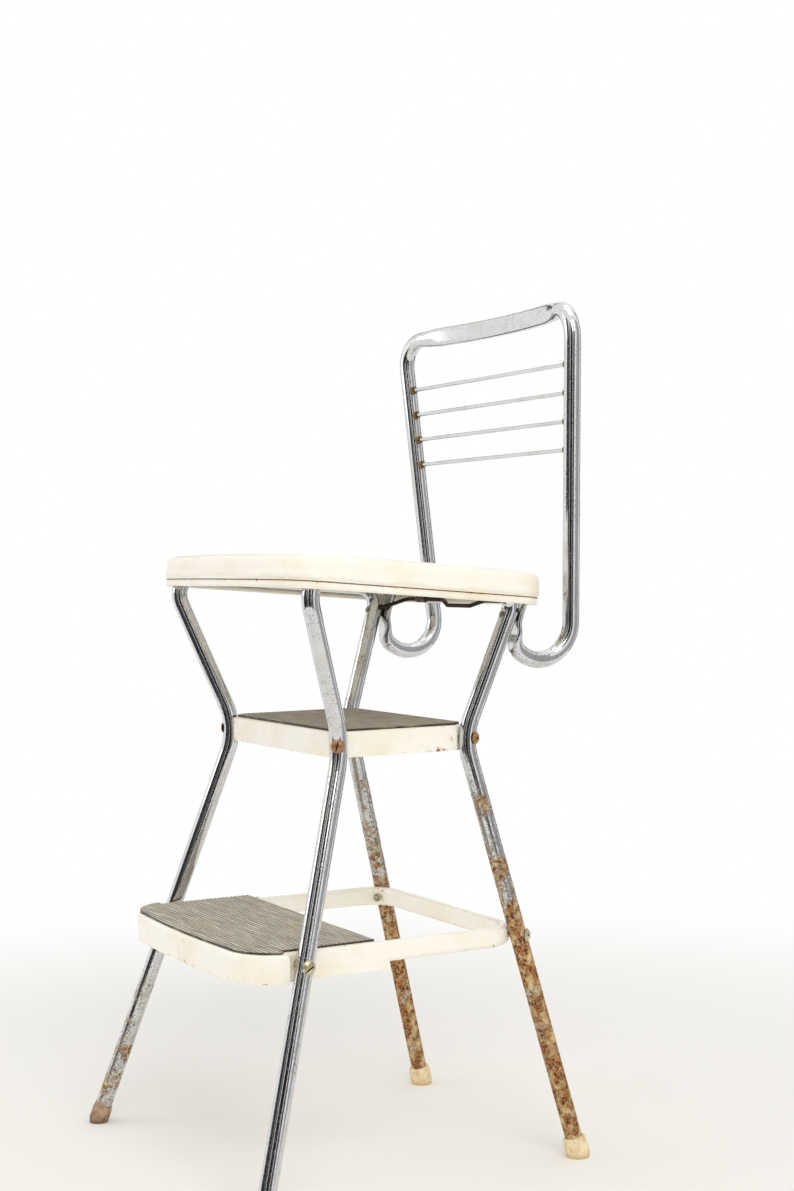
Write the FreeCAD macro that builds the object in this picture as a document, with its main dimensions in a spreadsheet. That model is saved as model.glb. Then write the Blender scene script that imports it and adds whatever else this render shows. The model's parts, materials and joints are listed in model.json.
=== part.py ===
"""Step stool chair with bent tube side frames, two fixed steps and a seat that flips up.

Millimetres. +Z up, the front of the chair towards -Y, its right side towards +X.
Sizes count from the floor, half way between the two waists of the side frames; at the end the
finished chair is moved so that the origin is under the middle of its bounds.
"""
import FreeCAD, Part
import math
import os

import Sketcher

from FreeCAD import Placement, Rotation, Vector

doc = FreeCAD.newDocument("StepStoolChair")

# Driving sizes. The sheet holds one row for each: alias, value, what it is.
SIZES = [
    ("tube_dia", 17.5, "outer diameter of the frame tube"),
    ("tube_wall", 1.25, "wall of the frame tube"),
    ("leg_beside", 12.7, "front legs outside the neck of the lower step, at its top"),
    ("foot_front_y", 203.5, "front foot, ahead of the waist"),
    ("foot_rear_x", 163.0, "rear foot, half spread"),
    ("foot_rear_y", 180.4, "rear foot, behind the waist"),
    ("waist_beside", 3.5, "legs at the waist outside the sides of the upper step"),
    ("waist_within", 4.0, "legs at the waist inside the front and rear of the upper step"),
    ("waist_z", 435.0, "height of the waist, and of the upper step bolts"),
    ("waist_bend", 70.0, "bend radius of the legs at the waist"),
    ("top_front_x", 161.5, "front top corner of the side frame, half spread"),
    ("top_front_y", 118.5, "front top corner, ahead of the waist"),
    ("top_rear_x", 148.0, "rear top corner, half spread"),
    ("top_rear_y", 123.0, "rear top corner, behind the waist"),
    ("knee_z", 575.0, "height where the front leg turns upright"),
    ("knee_bend", 25.0, "bend radius of that turn"),
    ("top_front_bend", 20.0, "bend radius at the front top corner"),
    ("top_rear_bend", 20.0, "bend radius at the rear top corner"),
    ("cap_front_dia", 21.0, "worn front foot cap, diameter"),
    ("cap_front_len", 17.0, "worn front foot cap, length"),
    ("cap_rear_dia", 24.5, "rear foot cap, diameter"),
    ("cap_rear_len", 19.0, "rear foot cap, length"),
    ("cap_sole", 6.0, "rubber under the end of the leg"),
    ("seat_tilt", 4.6, "slope of the seat down to the rear, degrees"),
    ("hinge_y", 147.0, "seat hinge line, behind the waist"),
    ("hinge_z", 571.4, "height of the seat hinge line"),
    ("rim_drop", 3.4, "rim of the seat pan below the hinge line"),
    ("pan_depth", 24.5, "depth of the seat pan"),
    ("sheet_wall", 1.2, "sheet steel of the pans"),
    ("pan_front_half", 179.0, "seat pan, half width at the front corners"),
    ("pan_rear_half", 165.0, "seat pan, half width at the rear corners"),
    ("pan_front", 282.0, "front corners of the seat pan ahead of the hinge"),
    ("pan_rear", 10.0, "rear edge of the seat pan behind the hinge"),
    ("pan_bow", 12.0, "how far the front edge of the seat bows out"),
    ("pan_front_corner", 34.0, "radius of the front corners of the seat pan"),
    ("pan_rear_corner", 50.0, "radius of the rear corners of the seat pan"),
    ("seam_height", 7.0, "bare painted rim below the vinyl"),
    ("cover_wall", 1.8, "vinyl cover"),
    ("pad_height", 10.0, "top of the cushion above the pan"),
    ("pad_round", 9.0, "rounding of the top edge of the cushion"),
    ("wire_dia", 4.5, "hinge wire diameter"),
    ("wire_hook_y", 119.0, "hole for the hinge wire in the rear leg, behind the waist"),
    ("wire_hook_z", 563.5, "height of that hole"),
    ("wire_arm_x", 124.8, "arms of the hinge wire, half spread"),
    ("wire_bend", 6.0, "bend radius of the hinge wire"),
    ("dip_top_half", 44.0, "half width of the dip in the hinge wire, at the top"),
    ("dip_foot_half", 24.0, "half width of that dip at the bottom"),
    ("dip_depth", 5.8, "how far the dip hangs below the hinge line"),
    ("dip_lean", 6.0, "how far the dip leans forward"),
    ("clip_x", 92.0, "hinge clips, half spread"),
    ("clip_width", 18.0, "width of a hinge clip"),
    ("clip_wall", 1.5, "sheet steel of a hinge clip"),
    ("clip_tab", 17.0, "length of the clip tab under the pan"),
    ("loop_inside", 28.2, "inner radius of the loops of the backrest tube"),
    ("loop_z", 548.4, "height of the middle of the loops"),
    ("loop_x", 137.6, "half spread of the loops"),
    ("flat_wall", 5.0, "thickness of the flattened ends of the backrest tube"),
    ("flat_top_z", 578.0, "top of the flattened ends"),
    ("flat_inset", 2.5, "flattened ends inboard of the legs"),
    ("back_top_x", 175.5, "top corners of the backrest, half spread"),
    ("back_top_y", 175.6, "top corners of the backrest, behind the waist"),
    ("back_top_z", 871.3, "height of the middle of the top rail"),
    ("back_bend", 30.0, "bend radius of the top corners of the backrest"),
    ("band_height", 21.5, "height of the flattened top rail"),
    ("band_depth", 10.5, "thickness of the flattened top rail"),
    ("band_angle", 10.0, "how far the ends of the top rail turn forward, degrees"),
    ("band_blend", 34.0, "length over which the tube turns into the flat top rail"),
    ("rod_dia", 4.5, "back rod diameter"),
    ("rod_drop", 57.3, "top rod below the middle of the top rail"),
    ("rod_gap", 29.0, "spacing of the rods"),
    ("collar_dia", 9.0, "collar round each end of a rod"),
    ("collar_len", 3.0, "length of a rod collar"),
    ("upper_half_x", 125.0, "upper step, half width"),
    ("upper_half_y", 77.0, "upper step, half depth"),
    ("upper_height", 25.5, "depth of the upper step pan"),
    ("upper_turn", 37.0, "upper step bolts turned forward or back from straight out, degrees"),
    ("upper_round", 3.5, "rounding of the top edges of the upper step"),
    ("mat_wall", 2.6, "thickness of the rubber step mats"),
    ("mat_inset", 4.0, "mats short of the edges of the upper step"),
    ("lower_top_z", 243.5, "top of the lower step pan"),
    ("lower_height", 28.0, "depth of the lower step pan"),
    ("lower_front", 190.0, "front of the lower step where its corners start, ahead of the waist"),
    ("lower_bow", 4.0, "how far the front edge of the lower step bows out"),
    ("lower_rear", 47.0, "rear edge of the lower step plate, ahead of the waist"),
    ("flange_rear", 33.0, "rear end of the side flanges, ahead of the waist"),
    ("lower_front_half", 163.0, "lower step, half width ahead of the legs"),
    ("lower_neck_half", 153.0, "lower step, half width just behind the front legs"),
    ("flange_taper", 1.5, "how much narrower each side of the lower step is at its rear"),
    ("lower_neck", 146.0, "where the step narrows to pass between the legs, ahead of the waist"),
    ("lower_corner_x", 105.0, "where the front corners of the lower step start, half spread"),
    ("lower_corner_bulge", 12.4, "how far the front corners stand out from their chords"),
    ("lower_round", 4.0, "rounding of the top edges of the lower step"),
    ("lip_height", 12.0, "folded lip at the rear edge of the lower step plate"),
    ("ring_height", 20.5, "height of the oval ring tube"),
    ("ring_depth", 12.5, "thickness of the oval ring tube"),
    ("ring_wall", 1.2, "wall of the ring tube"),
    ("ring_corner", 36.0, "bend radius of the ring at the rear corners"),
    ("ring_front", 147.0, "front ends of the ring tube, ahead of the waist"),
    ("bolt_dia", 5.0, "bolts"),
    ("bolt_head_dia", 14.5, "round slotted bolt heads"),
    ("bolt_head_height", 4.0, "height of a bolt head"),
    ("nut_width", 8.0, "nuts across flats"),
    ("nut_height", 4.0, "height of a nut"),
    ("slot_width", 1.6, "screwdriver slot"),
    ("slot_depth", 1.8, "depth of that slot"),
    ("slot_turn", 38.0, "slots out of line with the level, degrees"),
    ("bolt_spare", 1.5, "bolt ends beyond their nuts"),
    ("spacer_dia", 11.0, "spacers between the front legs and the lower step"),
    ("rivet_dia", 4.0, "rivets that hold the backrest"),
    ("rivet_head_dia", 7.0, "rivet heads"),
    ("rivet_head_height", 1.4, "height of a rivet head"),
    ("rivet_z", 557.0, "height of those rivets"),
    ("rivet_slack", 2.3, "grip of those rivets beyond the tubes they hold"),
    ("hole_play", 0.1, "play round a bolt, rivet, rod or wire in its hole, on the radius"),
    ("hinge_play", 0.08, "running fit of the hinge clips on the wire, on the radius"),
    ("seat_gap", 0.3, "gap between pieces that lie on each other"),
    ("waist_x", "=upper_half_x + waist_beside", "half spread of the legs at the waist"),
    ("waist_y", "=upper_half_y - waist_within", "legs ahead of and behind the middle there"),
    ("leg_reach", "=(lower_neck_half + leg_beside - waist_x) / (waist_z - lower_top_z)",
     "how far the front legs spread for each millimetre below the waist"),
    ("foot_front_x", "=waist_x + leg_reach * waist_z", "front foot, half spread"),
    ("lower_rear_half", "=lower_neck_half - flange_taper", "lower step, half width at the rear"),
    ("rod_top_z", "=back_top_z - rod_drop", "height of the top rod"),
]

sheet = doc.addObject("Spreadsheet::Sheet", "Sizes")
for row, (alias, value, note) in enumerate(SIZES, start=1):
    sheet.set("A%d" % row, alias)
    sheet.set("B%d" % row, str(value))
    sheet.set("C%d" % row, note)
    sheet.setAlias("B%d" % row, alias)
doc.recompute()


def size(alias):
    """The value of one cell of the sheet."""
    return float(sheet.get(alias))


SIDES = (("left", -1.0), ("right", 1.0))
TUBE = size("tube_dia")
R = TUBE / 2.0
PLAY = size("hole_play")
GAP = size("seat_gap")
WALL = size("tube_wall")
SHEET = size("sheet_wall")
UP = Vector(0, 0, 1)
WIDE = Vector(1, 0, 0)
DIAGONAL = math.sqrt(0.5)
subparts = []


# Points, paths and sections

def mirrored(point, side):
    """The point on the right side of the chair, or its mirror image on the left."""
    return Vector(point.x * side, point.y, point.z)


def unit(vector):
    """The vector at length one."""
    return Vector(vector).normalize()


def along(start, end, height):
    """The point at the given height on the straight line through two points."""
    share = (height - start.z) / (end.z - start.z)
    return start + (end - start) * share


def add_run(edges, start, end):
    """Add the straight run between two points, unless they are one."""
    if start.distanceToPoint(end) > 1e-4:
        edges.append(Part.LineSegment(start, end).toShape())


def rounded_path(points, radii):
    """Straight runs through the points, with an arc of the given radius at each inner one."""
    edges = []
    here = points[0]
    for before, corner, after, radius in zip(points, points[1:], points[2:], radii):
        to_start = unit(before - corner)
        to_end = unit(after - corner)
        half = to_start.getAngle(to_end) / 2.0
        reach = radius / math.tan(half)
        middle = corner + unit(to_start + to_end) * (radius / math.sin(half) - radius)
        first = corner + to_start * reach
        last = corner + to_end * reach
        add_run(edges, here, first)
        edges.append(Part.Arc(first, middle, last).toShape())
        here = last
    add_run(edges, here, points[-1])
    return Part.Wire(edges)


def round_bar(path, radius):
    """A solid bar of round section along a path."""
    first = path.OrderedEdges[0]
    start = first.valueAt(first.FirstParameter)
    direction = first.tangentAt(first.FirstParameter)
    ring = Part.Wire([Part.Circle(start, direction, radius).toShape()])
    return path.makePipeShell([ring], True, True)


def oval(centre, direction, wide, width, thick):
    """A pressed tube's section on a plane square to the direction: flat sides and round ends.

    Where the width is the thickness it is a circle, in four arcs as well.
    """
    across = unit(wide - direction * wide.dot(direction))
    over = direction.cross(across)
    is_round = width - thick < 1e-3
    share = DIAGONAL if is_round else 1.0
    top = over * (thick / 2.0 * share)
    reach = across * (width / 2.0 * share if is_round else (width - thick) / 2.0)
    crown = over * (thick / 2.0)
    tip = across * (width / 2.0)
    corners = [centre + reach + top, centre - reach + top, centre - reach - top, centre + reach - top]
    middles = [centre + crown, centre - tip, centre - crown, centre + tip]
    edges = []
    for index, middle in enumerate(middles):
        start = corners[index]
        end = corners[(index + 1) % 4]
        if index % 2 or is_round:
            edges.append(Part.Arc(start, middle, end).toShape())
        else:
            edges.append(Part.LineSegment(start, end).toShape())
    return Part.Wire(edges)


def oval_bar(path, wide, width, thick):
    """A solid bar of flattened section along a path."""
    first = path.OrderedEdges[0]
    start = first.valueAt(first.FirstParameter)
    direction = first.tangentAt(first.FirstParameter)
    return path.makePipeShell([oval(start, direction, wide, width, thick)], True, True)


def rod(centre, direction, radius, before, after):
    """A cylinder about a point, reaching so far behind and ahead of it."""
    axis = unit(direction)
    return Part.makeCylinder(radius, before + after, centre - axis * before, axis)


def turned(profile):
    """A solid turned about the Z axis from its half outline of radius and height pairs."""
    points = [Vector(radius, 0, height) for radius, height in profile]
    face = Part.Face(Part.makePolygon(points + points[:1]))
    return face.revolve(Vector(0, 0, 0), UP, 360)


def set_on(shape, place, direction):
    """A copy of the shape with its Z axis along the direction and its origin at the place."""
    copy = shape.copy()
    copy.Placement = Placement(place, Rotation(UP, direction)).multiply(shape.Placement)
    return copy


def add_part(name, shape):
    """A sub-part whose shape was made with the solid functions above."""
    feature = doc.addObject("Part::Feature", name)
    feature.Label = name
    feature.Shape = shape
    feature.Placement = shape.Placement
    subparts.append(feature)
    return feature


def add_group(name, shapes):
    """A sub-part that is a group of like pieces."""
    return add_part(name, Part.makeCompound(shapes))


# Bodies drawn as sketches

def origin_plane(body, role):
    """One of the body's own origin planes."""
    for item in body.Origin.OriginFeatures:
        if item.Role == role:
            return item
    raise ValueError(role)


def number(expression):
    """What an expression on the sheet comes to."""
    return float(sheet.evalExpression(expression))


def outline_sketch(body, name, corners, bulges=None):
    """A closed outline on the body's XY plane through corners given as expressions.

    A run named in bulges, by the number of its first corner, is an arc that stands out by that
    much from the straight line; the others are straight.
    """
    bulges = bulges or {}
    sketch = body.newObject("Sketcher::SketchObject", name)
    sketch.AttachmentSupport = [(origin_plane(body, "XY_Plane"), "")]
    sketch.MapMode = "FlatFace"
    points = [Vector(number(x), number(y), 0) for x, y in corners]
    count = len(points)
    for index, start in enumerate(points):
        end = points[(index + 1) % count]
        if index in bulges:
            outward = unit(end - start).cross(UP)
            crown = (start + end) * 0.5 + outward * number(bulges[index])
            sketch.addGeometry(Part.Arc(start, crown, end), False)
        else:
            sketch.addGeometry(Part.LineSegment(start, end), False)
    for index in range(count):
        following = (index + 1) % count
        here = (index, end_at(sketch, index, points[following]))
        there = (following, end_at(sketch, following, points[following]))
        sketch.addConstraint(Sketcher.Constraint("Coincident", *here, *there))
    for index, (x, y) in enumerate(corners):
        anchor = (index, end_at(sketch, index, points[index]))
        for kind, expression in (("DistanceX", x), ("DistanceY", y)):
            value = number(expression)
            added = sketch.addConstraint(Sketcher.Constraint(kind, -1, 1, *anchor, value))
            sketch.setExpression("Constraints[%d]" % added, expression)
    for index, bulge in bulges.items():
        chord = "((%s - (%s)) ^ 2 + (%s - (%s)) ^ 2)" % (
            corners[index][0], corners[(index + 1) % count][0],
            corners[index][1], corners[(index + 1) % count][1])
        radius = "(%s / 4 + (%s) ^ 2) / (2 * (%s))" % (chord, bulge, bulge)
        added = sketch.addConstraint(Sketcher.Constraint("Radius", index, number(radius)))
        sketch.setExpression("Constraints[%d]" % added, radius)
    return sketch


def end_at(sketch, geometry, place):
    """Which end of a run lies at a place: 1 for its start, 2 for its end."""
    return 1 if sketch.getPoint(geometry, 1).distanceToPoint(place) < 1e-4 else 2


def new_body(name):
    """An empty body that becomes a sub-part."""
    body = doc.addObject("PartDesign::Body", name)
    body.Label = name
    subparts.append(body)
    return body


def pad(body, name, sketch, length, down=False):
    """The sketch raised by a length given as an expression."""
    feature = body.newObject("PartDesign::Pad", name)
    feature.Profile = sketch
    feature.setExpression("Length", length)
    feature.Reversed = down
    sketch.Visibility = False
    doc.recompute()
    return feature


def round_edges(body, name, base, chosen, radius):
    """A fillet on the edges that the test picks."""
    picked = ["Edge%d" % (n + 1) for n, edge in enumerate(base.Shape.Edges) if chosen(edge)]
    fillet = body.newObject("PartDesign::Fillet", name)
    fillet.Base = (base, picked)
    fillet.setExpression("Radius", radius)
    doc.recompute()
    return fillet


def hollow_out(body, name, base, open_faces, wall):
    """A shell of the given wall, open at the faces that the test picks."""
    picked = ["Face%d" % (n + 1) for n, face in enumerate(base.Shape.Faces) if open_faces(face)]
    shell = body.newObject("PartDesign::Thickness", name)
    shell.Base = (base, picked)
    shell.Reversed = True
    shell.setExpression("Value", wall)
    doc.recompute()
    return shell


def upright_edge(edge):
    """Whether an edge runs straight up."""
    box = edge.BoundBox
    return box.XLength < 1e-3 and box.YLength < 1e-3


def level_edge(height):
    """A test for edges that lie at one height."""
    def lies_there(edge):
        box = edge.BoundBox
        return abs(box.ZMin - height) < 1e-3 and abs(box.ZMax - height) < 1e-3
    return lies_there


def level_face(height):
    """A test for faces that lie at one height."""
    def lies_there(face):
        box = face.BoundBox
        return abs(box.ZMin - height) < 1e-3 and abs(box.ZMax - height) < 1e-3
    return lies_there


# The side frame: one tube from the front foot over the top to the rear foot

tilt = math.radians(size("seat_tilt"))


def rim_height(y):
    """Height of the lower edge of the seat pan at a distance behind the waist."""
    drop = size("rim_drop") / math.cos(tilt)
    return size("hinge_z") - drop - math.tan(tilt) * (y - size("hinge_y"))


def rail_height(y):
    """Height of the middle of the hidden side rail, just under the plate of the seat pan."""
    rise = size("pan_depth") - SHEET - GAP - R
    return rim_height(y) + rise / math.cos(tilt)


foot_front = Vector(size("foot_front_x"), -size("foot_front_y"), 0)
foot_rear = Vector(size("foot_rear_x"), size("foot_rear_y"), 0)
top_front = Vector(size("top_front_x"), -size("top_front_y"), 0)
top_rear = Vector(size("top_rear_x"), size("top_rear_y"), 0)
front_knee = Vector(top_front.x, top_front.y, size("knee_z"))
top_front.z = rail_height(top_front.y)
top_rear.z = rail_height(top_rear.y)
waist_front = Vector(size("waist_x"), -size("waist_y"), size("waist_z"))
waist_rear = Vector(size("waist_x"), size("waist_y"), size("waist_z"))


def waist_corner(foot, waist, top):
    """Where the straight runs of a leg would cross, so that its bend passes through the waist."""
    outward = unit(foot - waist) + unit(top - waist)
    half = unit(foot - waist).getAngle(unit(top - waist)) / 2.0
    rise = size("waist_bend") * (1.0 / math.sin(half) - 1.0)
    return waist - unit(outward) * rise


bend_front = waist_corner(foot_front, waist_front, front_knee)
bend_rear = waist_corner(foot_rear, waist_rear, top_rear)
leg_front = unit(bend_front - foot_front)
leg_rear = unit(bend_rear - foot_rear)


def leg_end(foot, leg):
    """The cut end of a leg, so far above the floor that its cap has a sole."""
    return foot + leg * ((size("cap_sole") + R * math.tan(leg.getAngle(UP))) / leg.z)


frame_points = [
    leg_end(foot_front, leg_front), bend_front, front_knee, top_front,
    top_rear, bend_rear, leg_end(foot_rear, leg_rear),
]
frame_bends = [
    size("waist_bend"), size("knee_bend"), size("top_front_bend"),
    size("top_rear_bend"), size("waist_bend"),
]

# Bolts of the steps: where each one crosses its leg, and the way it points outwards
out_rear = Vector(DIAGONAL, DIAGONAL, 0)
ring_z = size("lower_top_z") - SHEET - GAP - size("ring_height") / 2.0
lower_front_bolt = along(foot_front, bend_front, ring_z)
lower_rear_bolt = along(foot_rear, bend_rear, ring_z)
out_side = Vector(1, 0, 0)
turn = math.radians(size("upper_turn"))
upper_bolts = [
    (waist_front, Vector(math.cos(turn), -math.sin(turn), 0)),
    (waist_rear, Vector(math.cos(turn), math.sin(turn), 0)),
]
lower_bolts = [(lower_front_bolt, out_side), (lower_rear_bolt, out_rear)]

bolt_hole = size("bolt_dia") / 2.0 + PLAY
wire_hole = size("wire_dia") / 2.0 + PLAY
rivet_hole = size("rivet_dia") / 2.0 + PLAY

# The flattened ends of the backrest tube lie on the backs of the rear legs.
upper_rear_leg = unit(top_rear - bend_rear)
leg_back = unit(Vector(0, 1, 0) - upper_rear_leg * upper_rear_leg.y)
flat_offset = leg_back * (R + GAP + size("flat_wall") / 2.0) - Vector(size("flat_inset"), 0, 0)
rivet_place = along(bend_rear, top_rear, size("rivet_z"))
wire_hook = Vector(size("waist_x"), size("wire_hook_y"), size("wire_hook_z"))
wire_hook.x = along(bend_rear, top_rear, wire_hook.z).x

leg_bars = {}
for name, side in SIDES:
    path = rounded_path([mirrored(point, side) for point in frame_points], frame_bends)
    tube = round_bar(path, R).cut(round_bar(path, R - WALL))
    leg_bars[name] = round_bar(path, R + PLAY)
    cutters = []
    for place, direction in upper_bolts + lower_bolts:
        cutters.append(rod(mirrored(place, side), mirrored(direction, side), bolt_hole, TUBE, TUBE))
    cutters.append(rod(mirrored(wire_hook, side), Vector(side, 0, 0), wire_hole, TUBE, TUBE))
    cutters.append(rod(mirrored(rivet_place, side), mirrored(leg_back, side), rivet_hole, TUBE, TUBE))
    add_part("side_frame_" + name, tube.cut(cutters))


# Rubber feet: shares of the outside radius and of the length, then millimetres
SOLE_RADIUS = 0.82
TAPER_FROM = 0.35
TAPER_TO = 0.62
LIP_END = 0.7
SHOULDER = 1.0
LIP_WALL = 0.6


def foot_cap(foot, leg, diameter, length):
    """A barrel shaped rubber cap over the end of a leg, with a flat sole on the floor."""
    outer = diameter / 2.0
    bore = R + PLAY
    start = leg_end(foot, leg)
    depth = 2.0 * size("cap_sole")
    barrel = turned([
        (0, -depth), (outer * SOLE_RADIUS, -depth), (outer, -depth / 2.0),
        (outer, length * TAPER_FROM), (outer - SHOULDER, length * TAPER_TO),
        (bore + LIP_WALL, length * LIP_END), (0, length * LIP_END),
    ])
    room = Part.makeCylinder(bore, length, Vector(0, 0, 0), UP)
    cap = set_on(barrel.cut(room), start, leg)
    reach = 2.0 * diameter
    floor = Part.makeBox(2 * reach, 2 * reach, reach, start - Vector(reach, reach, start.z + reach))
    return cap.cut(floor)


FEET = [
    ("front", foot_front, leg_front, size("cap_front_dia"), size("cap_front_len")),
    ("rear", foot_rear, leg_rear, size("cap_rear_dia"), size("cap_rear_len")),
]
for end, foot, leg, diameter, length in FEET:
    for name, side in SIDES:
        cap = foot_cap(mirrored(foot, side), mirrored(leg, side), diameter, length)
        add_part("foot_%s_%s" % (end, name), cap)


# Backrest: one tube with flattened ends, loops, uprights and a flattened top rail

girth = math.pi * size("tube_dia")
back_top = Vector(size("back_top_x"), size("back_top_y"), size("back_top_z"))
loop_radius = size("loop_inside") + R

# The loop's middle is set so that its flattened end lies along the back of the leg.
flat_slope = math.atan2(upper_rear_leg.y, upper_rear_leg.z)
flat_low = along(bend_rear, top_rear, size("loop_z")) + flat_offset
flat_to_loop = (size("loop_inside") + size("flat_wall") / 2.0) / math.cos(flat_slope)
flat_y = flat_low.y + math.tan(flat_slope) * (size("loop_z") - flat_low.z)
loop_centre = Vector(size("loop_x"), flat_y + flat_to_loop, size("loop_z"))


def pressed_width(thickness):
    """Width of the tube once it is pressed to a thickness, with its girth unchanged."""
    return (girth - math.pi * thickness) / 2.0 + thickness


def loop_point(degrees, thickness):
    """Middle of the pressed tube at an angle round the loop, its inner face kept in line."""
    angle = math.radians(degrees)
    radius = size("loop_inside") + thickness / 2.0
    return loop_centre + Vector(0, math.cos(angle), math.sin(angle)) * radius


def hollow_loft(sections):
    """A tube through sections given as middle, direction, wide side, width and thickness."""
    outer = [oval(*section) for section in sections]
    inner = [
        oval(middle, direction, wide, width - 2 * WALL, thick - 2 * WALL)
        for middle, direction, wide, width, thick in sections
    ]
    ruled = len(sections) == 2
    return Part.makeLoft(outer, True, ruled).cut(Part.makeLoft(inner, True, ruled))


# Angles round the loop, 180 degrees being its front: the pressing starts at the first, the tube
# is flat from the second, and its flattened end leaves the loop at the third.
ROUND_FROM = 226.0
PRESSED_FROM = 190.0
leave_at = 180.0 - math.degrees(flat_slope)
PRESS_STEPS = 6


def loop_front():
    """The front of the right loop, from the round tube to the flattened end behind the leg."""
    sections = []
    for step in range(PRESS_STEPS + 1):
        share = step / PRESS_STEPS
        degrees = ROUND_FROM + (leave_at - ROUND_FROM) * share
        pressed = min(1.0, (ROUND_FROM - degrees) / (ROUND_FROM - PRESSED_FROM))
        ease = pressed ** 2 * (3.0 - 2.0 * pressed)
        thick = TUBE + (size("flat_wall") - TUBE) * ease
        middle = loop_point(degrees, thick)
        middle.x += (flat_low.x - loop_centre.x) * share
        angle = math.radians(degrees)
        direction = Vector(0, math.sin(angle), -math.cos(angle))
        sections.append((middle, direction, WIDE, pressed_width(thick), thick))
    low = sections[-1][0]
    direction = sections[-1][1]
    top = low + direction * ((size("flat_top_z") - low.z) / direction.z)
    thin = size("flat_wall")
    flat = [(low, direction, WIDE, pressed_width(thin), thin),
            (top, direction, WIDE, pressed_width(thin), thin)]
    return [hollow_loft(sections), hollow_loft(flat)]


# The corner below the upright, placed so that its bend starts at the bottom of the loop
BOTTOM = 270.0
SETTLING_STEPS = 20
loop_bottom = loop_point(BOTTOM, TUBE)
loop_corner = Vector(loop_bottom)
for attempt in range(SETTLING_STEPS):
    turn = Vector(0, 1, 0).getAngle(back_top - loop_corner)
    loop_corner.y = loop_bottom.y + loop_radius * math.tan(turn / 2.0)
upright = unit(back_top - loop_corner)

band_angle = math.radians(size("band_angle"))
rail_way = Vector(-math.cos(band_angle), math.sin(band_angle), 0)
corner_reach = size("back_bend") * math.tan(upright.getAngle(rail_way) / 2.0)
blend_start = back_top + rail_way * corner_reach
blend_end = blend_start + rail_way * size("band_blend")


def hollow_bar(path, radius):
    """A round tube along a path."""
    return round_bar(path, radius).cut(round_bar(path, radius - WALL))


def back_side():
    """Round tube of the right half: bottom of the loop, upright and top corner."""
    start = loop_point(ROUND_FROM, TUBE)
    lowest = loop_point((ROUND_FROM + BOTTOM) / 2.0, TUBE)
    sweep = rounded_path(
        [loop_bottom, loop_corner, back_top, blend_start],
        [loop_radius - 1e-3, size("back_bend") - 1e-3],
    )
    arc = Part.Arc(start, lowest, loop_bottom).toShape()
    return Part.Wire([arc] + sweep.OrderedEdges)


def top_band():
    """The flattened top rail, bowed to the rear between its two blends."""
    radius = blend_end.x / math.sin(band_angle)
    crown = Vector(0, blend_end.y + radius * (1.0 - math.cos(band_angle)), blend_end.z)
    arc = Part.Arc(blend_end, crown, mirrored(blend_end, -1)).toShape()
    path = Part.Wire([arc])
    deep = size("band_depth")
    high = size("band_height")
    outer = path.makePipeShell([oval(blend_end, rail_way, UP, high, deep)], True, True)
    inner_section = oval(blend_end, rail_way, UP, high - 2 * WALL, deep - 2 * WALL)
    return outer.cut(path.makePipeShell([inner_section], True, True))


blend = hollow_loft([
    (blend_start, rail_way, UP, TUBE, TUBE),
    (blend_end, rail_way, UP, size("band_height"), size("band_depth")),
])
right_half = [hollow_bar(back_side(), R), blend] + loop_front()
left_half = [piece.mirror(Vector(0, 0, 0), WIDE) for piece in right_half]
backrest = top_band().multiFuse(right_half + left_half)

rod_heights = [size("rod_top_z") - size("rod_gap") * step for step in range(4)]
holes = []
collars = []
for count, height in enumerate(rod_heights, start=1):
    end = along(loop_corner, back_top, height)
    bar = rod(mirrored(end, -1), WIDE, size("rod_dia") / 2.0, 0, 2 * end.x)
    add_part("back_rod_%d" % count, bar)
    room = size("rod_dia") / 2.0 + PLAY
    for name, side in SIDES:
        holes.append(rod(mirrored(end, side), Vector(-side, 0, 0), room, WALL, TUBE))
        ring = rod(mirrored(end, side), Vector(-side, 0, 0), size("collar_dia") / 2.0, 0,
                   R + size("collar_len"))
        upright_bar = rod(mirrored(end, side), mirrored(upright, side), R + PLAY, TUBE, TUBE)
        bore = rod(mirrored(end, side), Vector(-side, 0, 0), room, 1, TUBE)
        collars.append(ring.cut([upright_bar, bore]))
add_group("rod_collars", collars)

for name, side in SIDES:
    holes.append(rod(mirrored(rivet_place, side), mirrored(leg_back, side), rivet_hole, TUBE, 2 * TUBE))
add_part("backrest_tube", backrest.cut(holes).removeSplitter())


# Rivets through the rear legs and the flattened ends

def rivet(length):
    """A rivet with a low head at each end, its grip from zero up to the length."""
    shank = size("rivet_dia") / 2.0
    head = size("rivet_head_dia") / 2.0
    height = size("rivet_head_height")
    return turned([
        (0, -height), (head * 0.5, -height), (head, 0), (shank, 0),
        (shank, length), (head, length), (head * 0.5, length + height), (0, length + height),
    ])


rivets = []
for name, side in SIDES:
    way = mirrored(leg_back, side)
    start = mirrored(rivet_place, side) - way * (R + PLAY)
    rivets.append(set_on(rivet(TUBE + size("flat_wall") + size("rivet_slack")), start, way))
add_group("back_rivets", rivets)


# Bolts and nuts of the steps

def slotted_head():
    """A round bolt head above zero with a screwdriver slot."""
    head = size("bolt_head_dia") / 2.0
    height = size("bolt_head_height")
    rise = (head ** 2 + height ** 2) / (2.0 * height)
    dome = Part.makeSphere(rise, Vector(0, 0, height - rise))
    crown = dome.common(Part.makeCylinder(head + 1, height, Vector(0, 0, 0), UP))
    width = size("slot_width")
    corner = Vector(-width / 2.0, -head, height - size("slot_depth"))
    slot = Part.makeBox(width, 2 * head, height, corner)
    slot.rotate(Vector(0, 0, 0), UP, size("slot_turn"))
    return crown.cut(slot)


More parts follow.
